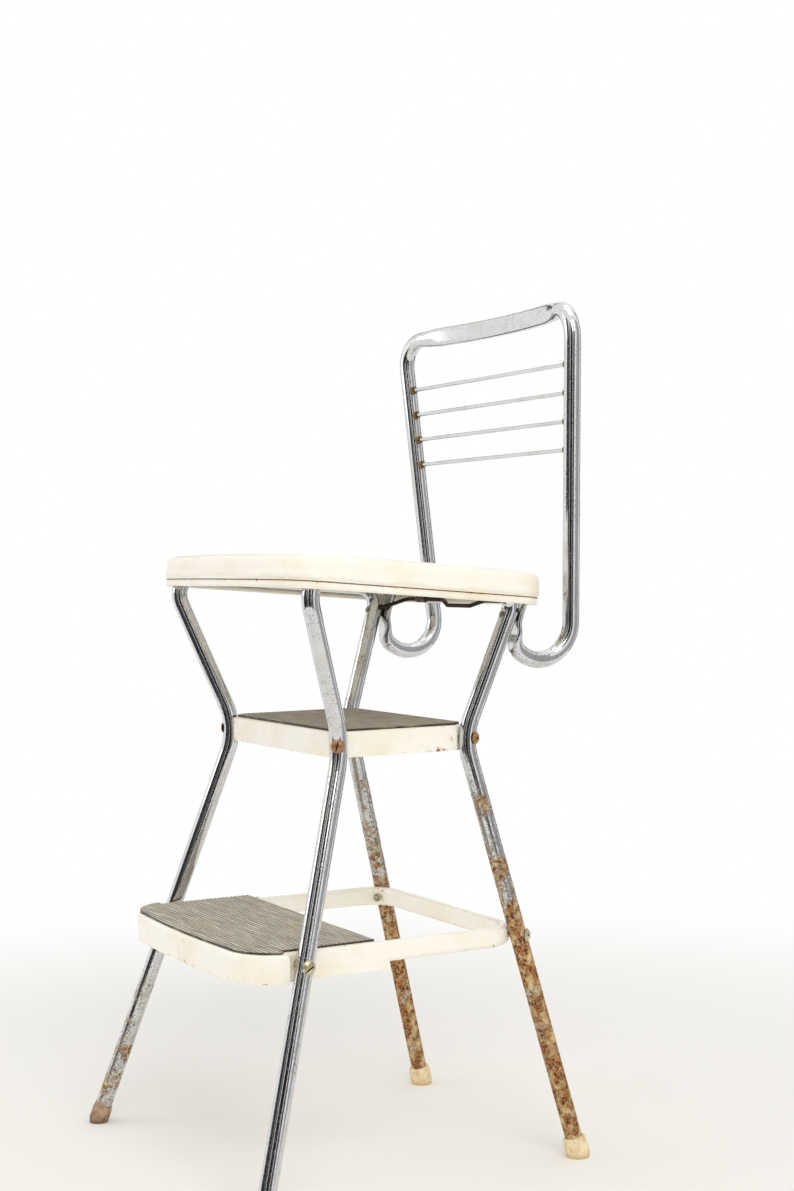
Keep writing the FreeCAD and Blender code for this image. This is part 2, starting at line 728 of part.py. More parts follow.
def hexagon_nut():
    """A nut whose lower face is at zero."""
    reach = size("nut_width") / math.sqrt(3.0)
    corners = [Vector(reach * math.cos(n * math.pi / 3), reach * math.sin(n * math.pi / 3), 0)
               for n in range(6)]
    face = Part.Face(Part.makePolygon(corners + corners[:1]))
    bore = Part.makeCylinder(size("bolt_dia") / 2.0, size("nut_height"), Vector(0, 0, 0), UP)
    return face.extrude(UP * size("nut_height")).cut(bore)


def bolts_and_nuts(name, places):
    """Bolts through the legs: each place has its leg's middle, way out and depth to the nut."""
    bolts = []
    nuts = []
    for middle, outward, depth in places:
        for label, side in SIDES:
            way = mirrored(outward, side)
            centre = mirrored(middle, side)
            head = set_on(slotted_head(), centre + way * (R - PLAY), way).cut(leg_bars[label])
            below = depth + size("nut_height") + size("bolt_spare")
            shank = rod(centre, way, size("bolt_dia") / 2.0, below, R + size("bolt_head_height") / 2.0)
            bolts.append(head.fuse(shank).removeSplitter())
            nuts.append(set_on(hexagon_nut(), centre - way * depth, -way))
    add_group(name + "_bolts", bolts)
    add_group(name + "_nuts", nuts)


upper_depth = R + GAP + SHEET
bolts_and_nuts("upper_step", [(place, way, upper_depth) for place, way in upper_bolts])


# Upper step: a folded sheet pan between the four waists, with a rubber mat

COS = "cos(Sizes.upper_turn)"
SIN = "sin(Sizes.upper_turn)"
seat_line = "Sizes.waist_x * %s + Sizes.waist_y * %s - Sizes.tube_dia / 2 - Sizes.seat_gap" % (COS, SIN)


def clipped_corners(half_x, half_y, line):
    """A rectangle whose corners are cut off square to the bolts, so far from the middle."""
    near_x = "((%s) - (%s) * %s) / %s" % (line, half_y, SIN, COS)
    near_y = "((%s) - (%s) * %s) / %s" % (line, half_x, COS, SIN)
    corners = []
    for sign_x, sign_y, swap in ((1, -1, False), (1, 1, True), (-1, 1, False), (-1, -1, True)):
        pair = [(near_x, half_y), (half_x, near_y)]
        if swap:
            pair.reverse()
        for x, y in pair:
            corners.append(("%d * (%s)" % (sign_x, x), "%d * (%s)" % (sign_y, y)))
    return corners


def cut_bolt_holes(shape, places, radius, reach):
    """The shape without the bolt holes, drilled through it from its corners."""
    drills = []
    for middle, outward in places:
        for name, side in SIDES:
            drills.append(rod(mirrored(middle, side), mirrored(outward, side), radius, reach, 1))
    return shape.cut(drills)


def drilled(name, body, places, radius, reach):
    """A sub-part made from the body's shape with its bolt holes cut through."""
    doc.recompute()
    subparts.remove(body)
    body.Label = name + "_blank"
    shape = body.Shape.copy()
    return add_part(name, cut_bolt_holes(shape, places, radius, reach))


upper = new_body("upper_step_pan")
upper_corners = clipped_corners("Sizes.upper_half_x", "Sizes.upper_half_y", seat_line)
upper_sketch = outline_sketch(upper, "upper_outline", upper_corners)
upper_pad = pad(upper, "upper_block", upper_sketch, "Sizes.upper_height")
upper_edges = round_edges(upper, "upper_rounding", upper_pad,
                          level_edge(size("upper_height")), "Sizes.upper_round")
upper_shell = hollow_out(upper, "upper_folds", upper_edges, level_face(0), "Sizes.sheet_wall")
upper_base = size("waist_z") - size("upper_height") / 2.0
upper.Placement = Placement(Vector(0, 0, upper_base), Rotation())
drilled("upper_step_pan", upper, upper_bolts, bolt_hole, 2 * TUBE)

upper_mat = new_body("upper_step_mat")
mat_corners = clipped_corners("Sizes.upper_half_x - Sizes.mat_inset",
                              "Sizes.upper_half_y - Sizes.mat_inset",
                              seat_line + " - Sizes.mat_inset")
mat_sketch = outline_sketch(upper_mat, "upper_mat_outline", mat_corners)
pad(upper_mat, "upper_mat_sheet", mat_sketch, "Sizes.mat_wall")
upper_mat.Placement = Placement(Vector(0, 0, upper_base + size("upper_height")), Rotation())


# Lower step: a sheet pan in front of the legs whose side flanges carry the oval ring

def both_sides(right_corners):
    """The corners of the right half, front to rear, and then the left half's, rear to front."""
    left = [("-(%s)" % x, y) for x, y in reversed(right_corners)]
    return right_corners + left


def lower_step_sketch(body, name, inset, rear):
    """The outline of the lower step: bowed front, round corners and a neck between the legs."""
    corners = both_sides([
        ("Sizes.lower_corner_x", "-(Sizes.lower_front - %s)" % inset),
        ("Sizes.lower_front_half - %s" % inset, "-(Sizes.lower_neck + %s)" % inset),
        ("Sizes.lower_neck_half - %s" % inset, "-(Sizes.lower_neck + %s)" % inset),
        ("Sizes.lower_rear_half - %s" % inset, "-(%s)" % rear),
    ])
    bulge = "Sizes.lower_corner_bulge - 0.2 * %s" % inset
    last = len(corners) - 1
    return outline_sketch(body, name, corners, {0: bulge, last - 1: bulge, last: "Sizes.lower_bow"})


def lower_block(name, inset, rear, height):
    """A block of the lower step's outline, its top edges rounded but for the rear one."""
    body = new_body(name)
    sketch = lower_step_sketch(body, name + "_outline", inset, rear)
    block = pad(body, name + "_height", sketch, height)
    top = level_edge(number(height))
    rear_end = -number(rear)

    def is_rounded(edge):
        return top(edge) and edge.BoundBox.YMin < rear_end - 1e-3

    round_edges(body, name + "_rounding", block, is_rounded, "Sizes.lower_round - %s" % inset)
    subparts.remove(body)
    return body.Shape.copy()


lower_folds = lower_block("lower_step_outside", "0", "Sizes.flange_rear", "Sizes.lower_height")
lower_folds = lower_folds.cut(lower_block(
    "lower_step_inside", "Sizes.sheet_wall", "(Sizes.flange_rear - 1)",
    "Sizes.lower_height - Sizes.sheet_wall"))
lower_base = size("lower_top_z") - size("lower_height")
lower_folds.translate(Vector(0, 0, lower_base))


def flange_half(y):
    """Half width of the lower step at a distance behind the waist, between the legs."""
    share = (y + size("lower_neck")) / (size("lower_neck") - size("flange_rear"))
    return size("lower_neck_half") + (size("lower_rear_half") - size("lower_neck_half")) * share


ring_half_depth = size("ring_depth") / 2.0
ring_flat_half = size("ring_height") / 2.0 - ring_half_depth
leg_lean = -leg_rear.dot(out_rear) / leg_rear.z
ring_seat = (R + ring_half_depth) * math.hypot(1.0, leg_lean) + ring_flat_half * leg_lean + GAP
ring_mid = lower_rear_bolt - out_rear * ring_seat
ring_rear = ring_mid + out_rear * (size("ring_corner") * (math.sqrt(2.0) - 1.0))
flange_end = -size("flange_rear")
ring_pass = Vector(flange_half(flange_end) - SHEET - GAP - ring_half_depth, flange_end, ring_z)
ring_nose = ring_pass + (ring_pass - ring_rear) * (
    (size("ring_front") - size("flange_rear")) / (ring_rear.y + size("flange_rear")))
ring_path = rounded_path(
    [ring_nose, ring_rear, mirrored(ring_rear, -1), mirrored(ring_nose, -1)],
    [size("ring_corner"), size("ring_corner")],
)
inner_height = size("ring_height") - 2 * size("ring_wall")
inner_depth = size("ring_depth") - 2 * size("ring_wall")
ring = oval_bar(ring_path, UP, size("ring_height"), size("ring_depth"))
ring = ring.cut(oval_bar(ring_path, UP, inner_height, inner_depth))
add_part("lower_ring", cut_bolt_holes(ring, lower_bolts, bolt_hole, 2 * (TUBE + ring_seat)))

# The plate stops short of the flanges and is folded down at its rear edge. The notch there is
# cut from below the plate to above it.
inside_x = ring_pass.x - ring_half_depth - GAP
notch_depth = size("lower_rear") - size("flange_rear")
notch = Part.makeBox(2 * (ring_pass.x + ring_half_depth), notch_depth + 1, 2 * SHEET,
                     Vector(-ring_pass.x - ring_half_depth, -size("lower_rear"),
                            size("lower_top_z") - 1.5 * SHEET))
lip = Part.makeBox(2 * inside_x, SHEET, size("lip_height"),
                   Vector(-inside_x, -size("lower_rear") - SHEET,
                          size("lower_top_z") - size("lip_height")))
lower_shape = lower_folds.cut(notch).fuse(lip).removeSplitter()
add_part("lower_step_pan", cut_bolt_holes(lower_shape, lower_bolts, bolt_hole, 2 * TUBE))

lower_mat = new_body("lower_step_mat")
lower_mat_sketch = lower_step_sketch(lower_mat, "lower_mat_outline", "Sizes.lower_round",
                                     "Sizes.lower_rear")
pad(lower_mat, "lower_mat_sheet", lower_mat_sketch, "Sizes.mat_wall")
lower_mat.Placement = Placement(Vector(0, 0, size("lower_top_z")), Rotation())

front_flange = flange_half(lower_front_bolt.y)
ring_at_bolt = ring_pass + (ring_rear - ring_pass) * (
    (lower_front_bolt.y - ring_pass.y) / (ring_rear.y - ring_pass.y))
front_depth = lower_front_bolt.x - ring_at_bolt.x + ring_half_depth + GAP
rear_depth = ring_seat + ring_half_depth + 2 * GAP
bolts_and_nuts("lower_step", [
    (lower_front_bolt, out_side, front_depth),
    (lower_rear_bolt, out_rear, rear_depth),
])
spacers = []
for name, side in SIDES:
    start = mirrored(Vector(front_flange + GAP, lower_front_bolt.y, ring_z), side)
    length = lower_front_bolt.x - front_flange - GAP - R
    sleeve = rod(start, Vector(side, 0, 0), size("spacer_dia") / 2.0, 0, length + R / 2.0)
    bore = rod(start, Vector(side, 0, 0), bolt_hole, 1, length + R)
    spacers.append(sleeve.cut([leg_bars[name], bore]))
add_group("lower_step_spacers", spacers)


# Hinge wire: hooked into the rear legs, with a dip in the middle

wire_points = [
    wire_hook + Vector(R - WALL, 0, 0),
    Vector(size("wire_arm_x"), size("wire_hook_y"), size("wire_hook_z")),
    Vector(size("wire_arm_x"), size("hinge_y"), size("hinge_z")),
    Vector(size("dip_top_half"), size("hinge_y"), size("hinge_z")),
    Vector(size("dip_foot_half"), size("hinge_y") - size("dip_lean"),
           size("hinge_z") - size("dip_depth")),
]
wire_points += [mirrored(point, -1) for point in reversed(wire_points)]
wire_path = rounded_path(wire_points, [size("wire_bend")] * (len(wire_points) - 2))
add_part("hinge_wire", round_bar(wire_path, size("wire_dia") / 2.0))


# Seat: a sheet pan, a foam pad and a vinyl cover, all on the sloping frame of the hinge

seat_frame = Placement(Vector(0, size("hinge_y"), size("hinge_z")),
                       Rotation(Vector(1, 0, 0), -size("seat_tilt")))


def on_seat(height):
    """The placement of a piece whose base is so far above the hinge line, square to the seat."""
    return seat_frame.multiply(Placement(Vector(0, 0, height), Rotation()))


def upright_corner(test):
    """A test for upright edges whose place passes a test of its own."""
    def is_corner(edge):
        return upright_edge(edge) and test(edge.CenterOfMass)
    return is_corner


def seat_block(name, margin, height, base):
    """A body with the outline of the seat, grown by a margin, up to a height."""
    body = new_body(name)
    corners = both_sides([
        ("Sizes.pan_front_half + %s" % margin, "-(Sizes.pan_front + %s)" % margin),
        ("Sizes.pan_rear_half + %s" % margin, "Sizes.pan_rear + %s" % margin),
    ])
    sketch = outline_sketch(body, name + "_outline", corners, {3: "Sizes.pan_bow"})
    block = pad(body, name + "_block", sketch, height)
    front = round_edges(body, name + "_front_corners", block,
                        upright_corner(lambda place: place.y < 0),
                        "Sizes.pan_front_corner + %s" % margin)
    rear = round_edges(body, name + "_rear_corners", front,
                       upright_corner(lambda place: place.y > 0),
                       "Sizes.pan_rear_corner + %s" % margin)
    body.Placement = on_seat(base)
    return body, rear


rim = -size("rim_drop")
pan, pan_corners = seat_block("seat_pan", "0", "Sizes.pan_depth", rim)
pan_edges = round_edges(pan, "seat_pan_rounding", pan_corners,
                        level_edge(size("pan_depth")), "3 * Sizes.sheet_wall")
hollow_out(pan, "seat_pan_folds", pan_edges, level_face(0), "Sizes.sheet_wall")

cover_height = "Sizes.pan_depth + Sizes.pad_height - Sizes.seam_height"
cover, cover_corners = seat_block("seat_cover", "Sizes.cover_wall + Sizes.seat_gap",
                                  cover_height, rim + size("seam_height"))
cover_edges = round_edges(cover, "seat_cover_rounding", cover_corners,
                          level_edge(number(cover_height)), "Sizes.pad_round")
hollow_out(cover, "seat_cover_skin", cover_edges, level_face(0), "Sizes.cover_wall")

pad_rise = "Sizes.pad_height - Sizes.cover_wall - 2 * Sizes.seat_gap"
foam, foam_corners = seat_block("seat_pad", "0", pad_rise,
                                rim + size("pan_depth") + size("seat_gap"))
round_edges(foam, "seat_pad_rounding", foam_corners, level_edge(number(pad_rise)),
            "Sizes.pad_round - Sizes.cover_wall")


# Hinge clips: an eye round the wire, a web up to the pan and a tab along it

def hinge_clip(name, side):
    """One clip made of plain solids, its sizes read from the sheet."""
    def solid(kind, label, **expressions):
        item = doc.addObject(kind, name + "_" + label)
        for key, expression in expressions.items():
            item.setExpression(key, expression)
        return item

    bore_radius = "Sizes.wire_dia / 2 + Sizes.hinge_play"
    plate = "(Sizes.pan_depth - Sizes.rim_drop - Sizes.sheet_wall)"
    outer = solid("Part::Cylinder", "eye", Radius=bore_radius + " + Sizes.clip_wall",
                  Height="Sizes.clip_width")
    bore = solid("Part::Cylinder", "bore", Radius=bore_radius, Height="Sizes.clip_width")
    upright_axis = Rotation(Vector(0, 1, 0), 90)
    left_end = Vector(-size("clip_width") / 2.0, 0, 0)
    outer.Placement = Placement(left_end, upright_axis)
    bore.Placement = Placement(left_end, upright_axis)
    web = solid("Part::Box", "web", Length="Sizes.clip_width", Width="2 * Sizes.clip_wall",
                Height=plate)
    web.Placement = Placement(left_end - Vector(0, size("clip_wall"), 0), Rotation())
    tab = solid("Part::Box", "tab", Length="Sizes.clip_width",
                Width="Sizes.clip_tab", Height="Sizes.clip_wall")
    under_plate = number(plate) - size("clip_wall")
    forward = Vector(0, size("clip_wall") - size("clip_tab"), under_plate)
    tab.Placement = Placement(left_end + forward, Rotation())
    joined = doc.addObject("Part::MultiFuse", name + "_strap")
    joined.Shapes = [outer, web, tab]
    clip = doc.addObject("Part::Cut", name)
    clip.Label = name
    clip.Base = joined
    clip.Tool = bore
    middle = Placement(Vector(side * size("clip_x"), 0, 0), Rotation())
    clip.Placement = seat_frame.multiply(middle)
    subparts.append(clip)


for name, side in SIDES:
    hinge_clip("hinge_clip_" + name, side)


# Stand the chair with the middle of its bounds over the origin

doc.recompute()
bounds = [item.Shape.optimalBoundingBox(True, False) for item in subparts]
middle_y = (min(box.YMin for box in bounds) + max(box.YMax for box in bounds)) / 2.0
stand = Placement(Vector(0, -middle_y, 0), Rotation())
for item in subparts:
    item.Placement = stand.multiply(item.Placement)
print("moved by %.3f mm along Y" % -middle_y)


# Check every object, then write one file for each sub-part

doc.recompute()
for item in doc.Objects:
    if "Invalid" in item.State or "Error" in item.State:
        raise RuntimeError("%s did not build: %s" % (item.Label, item.State))
os.makedirs("parts", exist_ok=True)
for item in subparts:
    shape = item.Shape
    if shape.isNull() or not shape.isValid() or shape.Volume <= 0:
        raise RuntimeError("%s has no sound solid" % item.Label)
for item in subparts:
    item.Shape.exportStep("parts/%s.step" % item.Label)
    box = item.Shape.BoundBox
    print("%-20s %d solid(s) %10.0f mm3  x %.1f..%.1f  y %.1f..%.1f  z %.1f..%.1f" % (
        item.Label, len(item.Shape.Solids), item.Shape.Volume,
        box.XMin, box.XMax, box.YMin, box.YMax, box.ZMin, box.ZMax))
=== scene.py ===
"""Step stool chair with a chrome tube frame, a padded flip-up seat and two rubber covered steps.

Metres. +Z up, the front of the chair towards -Y.
"""
import json
import math

import bmesh
import bpy
from mathutils import Matrix, Vector


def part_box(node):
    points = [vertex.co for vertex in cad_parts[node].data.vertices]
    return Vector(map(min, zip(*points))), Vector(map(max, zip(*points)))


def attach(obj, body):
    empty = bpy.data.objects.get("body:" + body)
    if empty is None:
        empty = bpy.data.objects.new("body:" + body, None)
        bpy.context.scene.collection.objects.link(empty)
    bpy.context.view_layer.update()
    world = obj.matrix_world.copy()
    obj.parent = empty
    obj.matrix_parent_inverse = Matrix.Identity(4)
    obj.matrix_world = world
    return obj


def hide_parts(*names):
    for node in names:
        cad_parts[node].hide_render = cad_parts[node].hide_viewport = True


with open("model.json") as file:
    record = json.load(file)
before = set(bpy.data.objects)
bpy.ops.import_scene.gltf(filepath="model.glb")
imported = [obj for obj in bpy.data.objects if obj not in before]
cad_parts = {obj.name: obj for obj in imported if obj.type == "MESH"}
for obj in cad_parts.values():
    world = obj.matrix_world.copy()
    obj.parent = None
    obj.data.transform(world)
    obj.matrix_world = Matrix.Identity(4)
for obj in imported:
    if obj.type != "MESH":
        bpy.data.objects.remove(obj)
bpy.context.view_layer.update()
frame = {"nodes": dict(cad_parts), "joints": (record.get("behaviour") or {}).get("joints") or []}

bl_info = {
    "name": "Step stool chair",
    "version": (1, 0, 0),
    "blender": (4, 5, 0),
    "location": "3D View > Sidebar > Step stool",
    "description": "Dresses the step stool chair in chrome, enamel, rubber and vinyl",
    "category": "Object",
}

MM = 0.001
UP = Vector((0, 0, 1))

# The seat's own axes start on the hinge line and slope down to the rear with the seat.
HINGE = next(joint for joint in frame["joints"] if joint["name"] == "seat_hinge")
SEAT_SLOPE = math.radians(4.6)
SEAT_NORMAL = Vector((0.0, math.sin(SEAT_SLOPE), math.cos(SEAT_SLOPE)))
SEAT_PLACE = Matrix.Translation(Vector(HINGE["pos_m"])) @ Matrix.Rotation(-SEAT_SLOPE, 4, "X")
HINGE_LEVEL = SEAT_PLACE.translation.dot(SEAT_NORMAL)
SEAT_MIDDLE = -0.142

# Heights over the hinge line: the pan's lower edge, the vinyl's lower edge and the pan's top.
RIM = -3.4 * MM
SEAM = RIM + 7.0 * MM
PAN_TOP = RIM + 24.5 * MM

# The pan's wall.
PAN_SHEET = 1.2 * MM

# The cushion's hem starts a little over the seam and is held, in a band of this height, while the
# pressure swells the rest as cloth. No point moves farther than the limit.
HEM = 0.6 * MM
HELD_BAND = 4.0 * MM
CLOTH_FRAMES = 20
CLOTH_PRESSURE = 4.0
SWELL_LIMIT = 1.5 * MM

# The crown of the cushion loses this share of its height where it reaches this far out.
CROWN_HALF_WIDTH = 0.18
CROWN_HALF_DEPTH = 0.15
CROWN_FALL = 0.75

# A tread: rows of the grid in each rib, and how far the sheet is wider than the mat it is cut to.
RIB_ROWS = 4
TREAD_SPARE = 4.0 * MM

# Heights over the floor where the rust of the legs begins and where it is full.
REAR_RUST = (0.47, 0.18)
FRONT_RUST = (0.26, 0.02)

# Cards in a ring round the chair that lean outwards, and that only metal sees.
CARD_REACH = 2.1
CARD_HEIGHT = 3.4
CARD_LEAN = 0.47

# The photograph's camera: its place in metres, its angles in degrees and its lens in pixels.
CAMERA_PLACE = (1.797, -0.9223, 0.6138)
CAMERA_ANGLES = (61.1, -1.0, -0.7)
IMAGE_HEIGHT = 1191
FOCAL_PIXELS = 1919.3

# Sockets of a Mix node: its factor, its two sides as numbers or as colours, and its mixed colour.
FACTOR = 0
LEVEL_A, LEVEL_B = 2, 3
TINT_A, TINT_B = 6, 7
MIXED = 2


# Properties

def length(name, description, default):
    """A size in metres that a user can change."""
    return bpy.props.FloatProperty(name=name, description=description, default=default,
                                   min=0.0, unit="LENGTH", precision=5)


def colour(name, description, hex_code):
    """A colour that a user can change."""
    return bpy.props.FloatVectorProperty(name=name, description=description, size=4,
                                         subtype="COLOR", min=0.0, max=1.0,
                                         default=linear(hex_code))


def share(name, description, default):
    """A number from zero to one that a user can change."""
    return bpy.props.FloatProperty(name=name, description=description, default=default,
                                   min=0.0, max=1.0, subtype="FACTOR")


def linear(hex_code):
    """A linear colour from an sRGB hex value."""
    channels = [int(hex_code[start:start + 2], 16) / 255.0 for start in (0, 2, 4)]
    bent = [c / 12.92 if c <= 0.04045 else ((c + 0.055) / 1.055) ** 2.4 for c in channels]
    return (*bent, 1.0)


class SeatSettings(bpy.types.PropertyGroup):
    """Sizes and colours of the padded seat."""
    crown: length("Crown", "How far the middle of the cushion may rise", 1.0 * MM)
    voxel: length("Voxel", "Mesh size of the cushion before it swells", 4.0 * MM)
    rim_roll: length("Rim roll", "Radius of the rolled lower edge of the seat pan", 2.7 * MM)
    margin: length("Margin", "How far the cushion starts outside the pan", 1.9 * MM)
    # The seam's bead is painted shade of the gap between vinyl and pan, with grime and rust in it.
    seam: length("Seam", "Radius of the dirt in the seam", 0.55 * MM)
    vinyl: colour("Vinyl", "Cream vinyl of the cushion", "FDF8EB")
    vinyl_aged: colour("Aged vinyl", "Where the vinyl has yellowed", "F8EBD0")


class StepSettings(bpy.types.PropertyGroup):
    """Sizes and colours of the steps."""
    # The real ribs are finer. These are as coarse as they need to be to show.
    rib_pitch: length("Rib pitch", "From one rib of a tread to the next", 4.8 * MM)
    rib_height: length("Rib height", "Height of a rib over its groove", 1.0 * MM)
    tread: colour("Tread", "Worn tops of the upper tread's ribs", "B9AF9E")
    # Paler than the upper tread: partly wear, partly a painted sheen of the light on the lower
    # step.
    tread_pale_wear_and_sheen: colour("Pale tread", "Worn tops of the lower tread's ribs", "E6DDCB")
    # The groove colour is the rubber's own darker tone with painted shade of the grooves in it.
    groove: colour("Groove", "Rubber in the grooves", "4A4338")
    enamel: colour("Enamel", "Cream enamel of the steps", "FEFAEE")
    enamel_aged: colour("Aged enamel", "Where the enamel has yellowed", "F6EBD0")


class MetalSettings(bpy.types.PropertyGroup):
    """Colours of the plated and rusted metal."""
    chrome: colour("Chrome", "Chrome plate", "DADBDD")
    rust: colour("Rust", "Dark rust", "3C2619")
    rust_bright: colour("Bright rust", "Fresh rust", "AE7440")
    # Pale rust is dried rust, brightened to stand for the highlights of pitted metal: painted
    # highlight.
    rust_pale_and_highlight: colour("Pale rust", "Dry yellow rust", "D6C08C")
    wear: share("Wear", "How far the chrome of the lower legs has rusted", 0.5)


# Materials

def add_node(tree, kind, inputs=None, **settings):
    """A node with its settings, and each input given as a value or as a node and its output."""
    made = tree.nodes.new("ShaderNode" + kind)
    for key, value in settings.items():
        setattr(made, key, value)
    for key, value in (inputs or {}).items():
        if isinstance(value, tuple) and len(value) == 2 and hasattr(value[0], "outputs"):
            tree.links.new(value[0].outputs[value[1]], made.inputs[key])
        else:
            made.inputs[key].default_value = value
    return made


def new_material(name):
    """An empty node material and its tree."""
    material = bpy.data.materials.new(name)
    material.use_nodes = True
    material.node_tree.nodes.clear()
    return material, material.node_tree


def close_material(tree, shader):
    """Join a shader to the material's output."""
    add_node(tree, "OutputMaterial", {"Surface": (shader, 0)})


def speckle(tree, place, grain, low, high, detail=4.0):
    """Spots of about the given grain in metres: 0 below the low mark and 1 above the high one."""
    noise = add_node(tree, "TexNoise", {"Vector": place, "Scale": 1.0 / grain, "Detail": detail,
                                        "Roughness": 0.6})
    return add_node(tree, "MapRange", {"Value": (noise, "Fac"), "From Min": low,
                                       "From Max": high})


def rust_colour(tree, place, metal):
    """Fine mottled rust: dark, bright, and pale yellow of dried rust brightened as painted
    highlight.
    """
    dark = speckle(tree, place, 2.6 * MM, 0.44, 0.60, 6.0)
    warm = add_node(tree, "Mix", {FACTOR: (dark, 0), TINT_A: metal.rust_bright,
                                  TINT_B: metal.rust},
                    data_type="RGBA")
    # Moved, so that the pale patches of dried rust and painted highlight have a pattern of their
    # own.
    moved = add_node(tree, "Mapping", {"Vector": place, "Location": (0.31, 0.17, 0.53)})
    dried_rust_and_highlight = speckle(tree, (moved, 0), 9 * MM, 0.46, 0.66, 9.0)
    return add_node(tree, "Mix", {FACTOR: (dried_rust_and_highlight, 0), TINT_A: (warm, MIXED),
                                  TINT_B: metal.rust_pale_and_highlight},
                    data_type="RGBA")


def leg_rust(tree, place, wear):
    """Where rust covers the legs, and its border: more towards the floor, most on the rear legs."""
    axes = add_node(tree, "SeparateXYZ", {0: place})
    rear = add_node(tree, "Math", {0: (axes, "Y"), 1: 0.0}, operation="GREATER_THAN")
    far = add_node(tree, "Math", {0: (axes, "X"), 1: 0.0}, operation="LESS_THAN")
    low_rear = add_node(tree, "MapRange", {"Value": (axes, "Z"), "From Min": REAR_RUST[0],
                                           "From Max": REAR_RUST[1], "To Min": -0.08,
                                           "To Max": 0.10 + 0.2 * wear})
    low_front = add_node(tree, "MapRange", {"Value": (axes, "Z"), "From Min": FRONT_RUST[0],
                                            "From Max": FRONT_RUST[1], "To Min": -0.12,
                                            "To Max": 0.16 * wear})
    # Of the two front legs only the one on the -X side has rusted.
    front = add_node(tree, "Mix", {FACTOR: (far, 0), LEVEL_A: -0.10, LEVEL_B: (low_front, 0)},
                     data_type="FLOAT")
    bias = add_node(tree, "Mix", {FACTOR: (rear, 0), LEVEL_A: (front, 0), LEVEL_B: (low_rear, 0)},
                    data_type="FLOAT")
    coarse = add_node(tree, "TexNoise", {"Vector": place, "Scale": 1 / (26.3 * MM), "Detail": 2.0})
    fine = add_node(tree, "TexNoise", {"Vector": place, "Scale": 1 / (3.85 * MM), "Detail": 6.0,
                                       "Roughness": 0.75})
    blend = add_node(tree, "Mix", {FACTOR: 0.6, LEVEL_A: (coarse, "Fac"), LEVEL_B: (fine, "Fac")},
                     data_type="FLOAT")
    raised = add_node(tree, "Math", {0: (blend, 0), 1: (bias, 0)}, operation="ADD")
    cover = add_node(tree, "MapRange", {"Value": (raised, 0), "From Min": 0.575,
                                        "From Max": 0.605})
    border = add_node(tree, "MapRange", {"Value": (raised, 0), "From Min": 0.46,
                                         "From Max": 0.58})
    return cover, border


def chrome_plate(name, legs):
    """Chrome plated steel tube, drawn and polished: a mirror with dull clouds and dark pits.

    On the legs the rust has come through, and the chrome beside it is etched grey. The pits are
    drawn coarser than the real ones, so that they show.
    """
    metal = bpy.context.scene.stool_metal
    material, tree = new_material(name)
    place = (add_node(tree, "TexCoord"), "Object")
    pits = speckle(tree, place, 1.5 * MM, 0.58, 0.68, 3.0)
    field = speckle(tree, place, 45 * MM, 0.34, 0.60, 3.0)
    dotted = add_node(tree, "Math", {0: (pits, 0), 1: (field, 0)}, operation="MULTIPLY")
    dull = speckle(tree, place, 24 * MM, 0.48, 0.72)
    film = add_node(tree, "Mix", {FACTOR: (dull, 0), TINT_A: metal.chrome,
                                  TINT_B: linear("D0CEC7")},
                    data_type="RGBA")
    spotted = add_node(tree, "Mix", {FACTOR: (dotted, 0), TINT_A: (film, MIXED),
                                     TINT_B: linear("5E5A52")},
                       data_type="RGBA")
    polish = add_node(tree, "MapRange", {"Value": (dull, 0), "To Min": 0.09, "To Max": 0.18})
    rough = add_node(tree, "Mix", {FACTOR: (dotted, 0), LEVEL_A: (polish, 0), LEVEL_B: 0.55},
                     data_type="FLOAT")
    height = add_node(tree, "Math", {0: 0.0, 1: (dotted, 0)}, operation="SUBTRACT")
    settings = {"Base Color": (spotted, MIXED), "Roughness": (rough, 0), "Metallic": 1.0}
    if legs:
        cover, border = leg_rust(tree, place, metal.wear)
        rust = rust_colour(tree, place, metal)
        broken = speckle(tree, place, 2 * MM, 0.40, 0.60, 3.0)
        etched = add_node(tree, "Math", {0: (border, 0), 1: (broken, 0)}, operation="MULTIPLY")
        grey = add_node(tree, "Mix", {FACTOR: (etched, 0), TINT_A: (spotted, MIXED),
                                      TINT_B: linear("8B8374")},
                        data_type="RGBA")
        tint = add_node(tree, "Mix", {FACTOR: (cover, 0), TINT_A: (grey, MIXED),
                                      TINT_B: (rust, MIXED)},
                        data_type="RGBA")
        frosted = add_node(tree, "Mix", {FACTOR: (etched, 0), LEVEL_A: (rough, 0), LEVEL_B: 0.42},
                           data_type="FLOAT")
        grown = add_node(tree, "Mix", {FACTOR: (cover, 0), LEVEL_A: (frosted, 0), LEVEL_B: 0.85},
                         data_type="FLOAT")
        bare = add_node(tree, "Math", {0: 1.0, 1: (cover, 0)}, operation="SUBTRACT")
        height = add_node(tree, "Math", {0: (cover, 0), 1: (dotted, 0)},
                          operation="SUBTRACT")
        settings = {"Base Color": (tint, MIXED), "Roughness": (grown, 0), "Metallic": (bare, 0)}
    bump = add_node(tree, "Bump", {"Height": (height, 0), "Strength": 0.3,
                                   "Distance": 0.12 * MM})
    shader = add_node(tree, "BsdfPrincipled", {**settings, "Normal": (bump, 0)})
    close_material(tree, shader)
    return material


def edge_wear(tree, place, edge_height, seam):
    """Wear by an edge: to both sides of the seat's seam, or upwards from the rim of a step."""
    if seam:
        above = add_node(tree, "VectorMath", {0: place, 1: SEAT_NORMAL}, operation="DOT_PRODUCT")
        over = add_node(tree, "Math", {0: (above, "Value"), 1: HINGE_LEVEL + edge_height},
                        operation="SUBTRACT")
        off = add_node(tree, "Math", {0: (over, 0)}, operation="ABSOLUTE")
        return add_node(tree, "MapRange", {"Value": (off, 0), "From Min": 1.6 * MM,
                                           "From Max": 0.0, "To Max": 0.13})
    axes = add_node(tree, "SeparateXYZ", {0: place})
    return add_node(tree, "MapRange", {"Value": (axes, "Z"), "From Min": edge_height + 5 * MM,
                                       "From Max": edge_height, "To Max": 0.10})


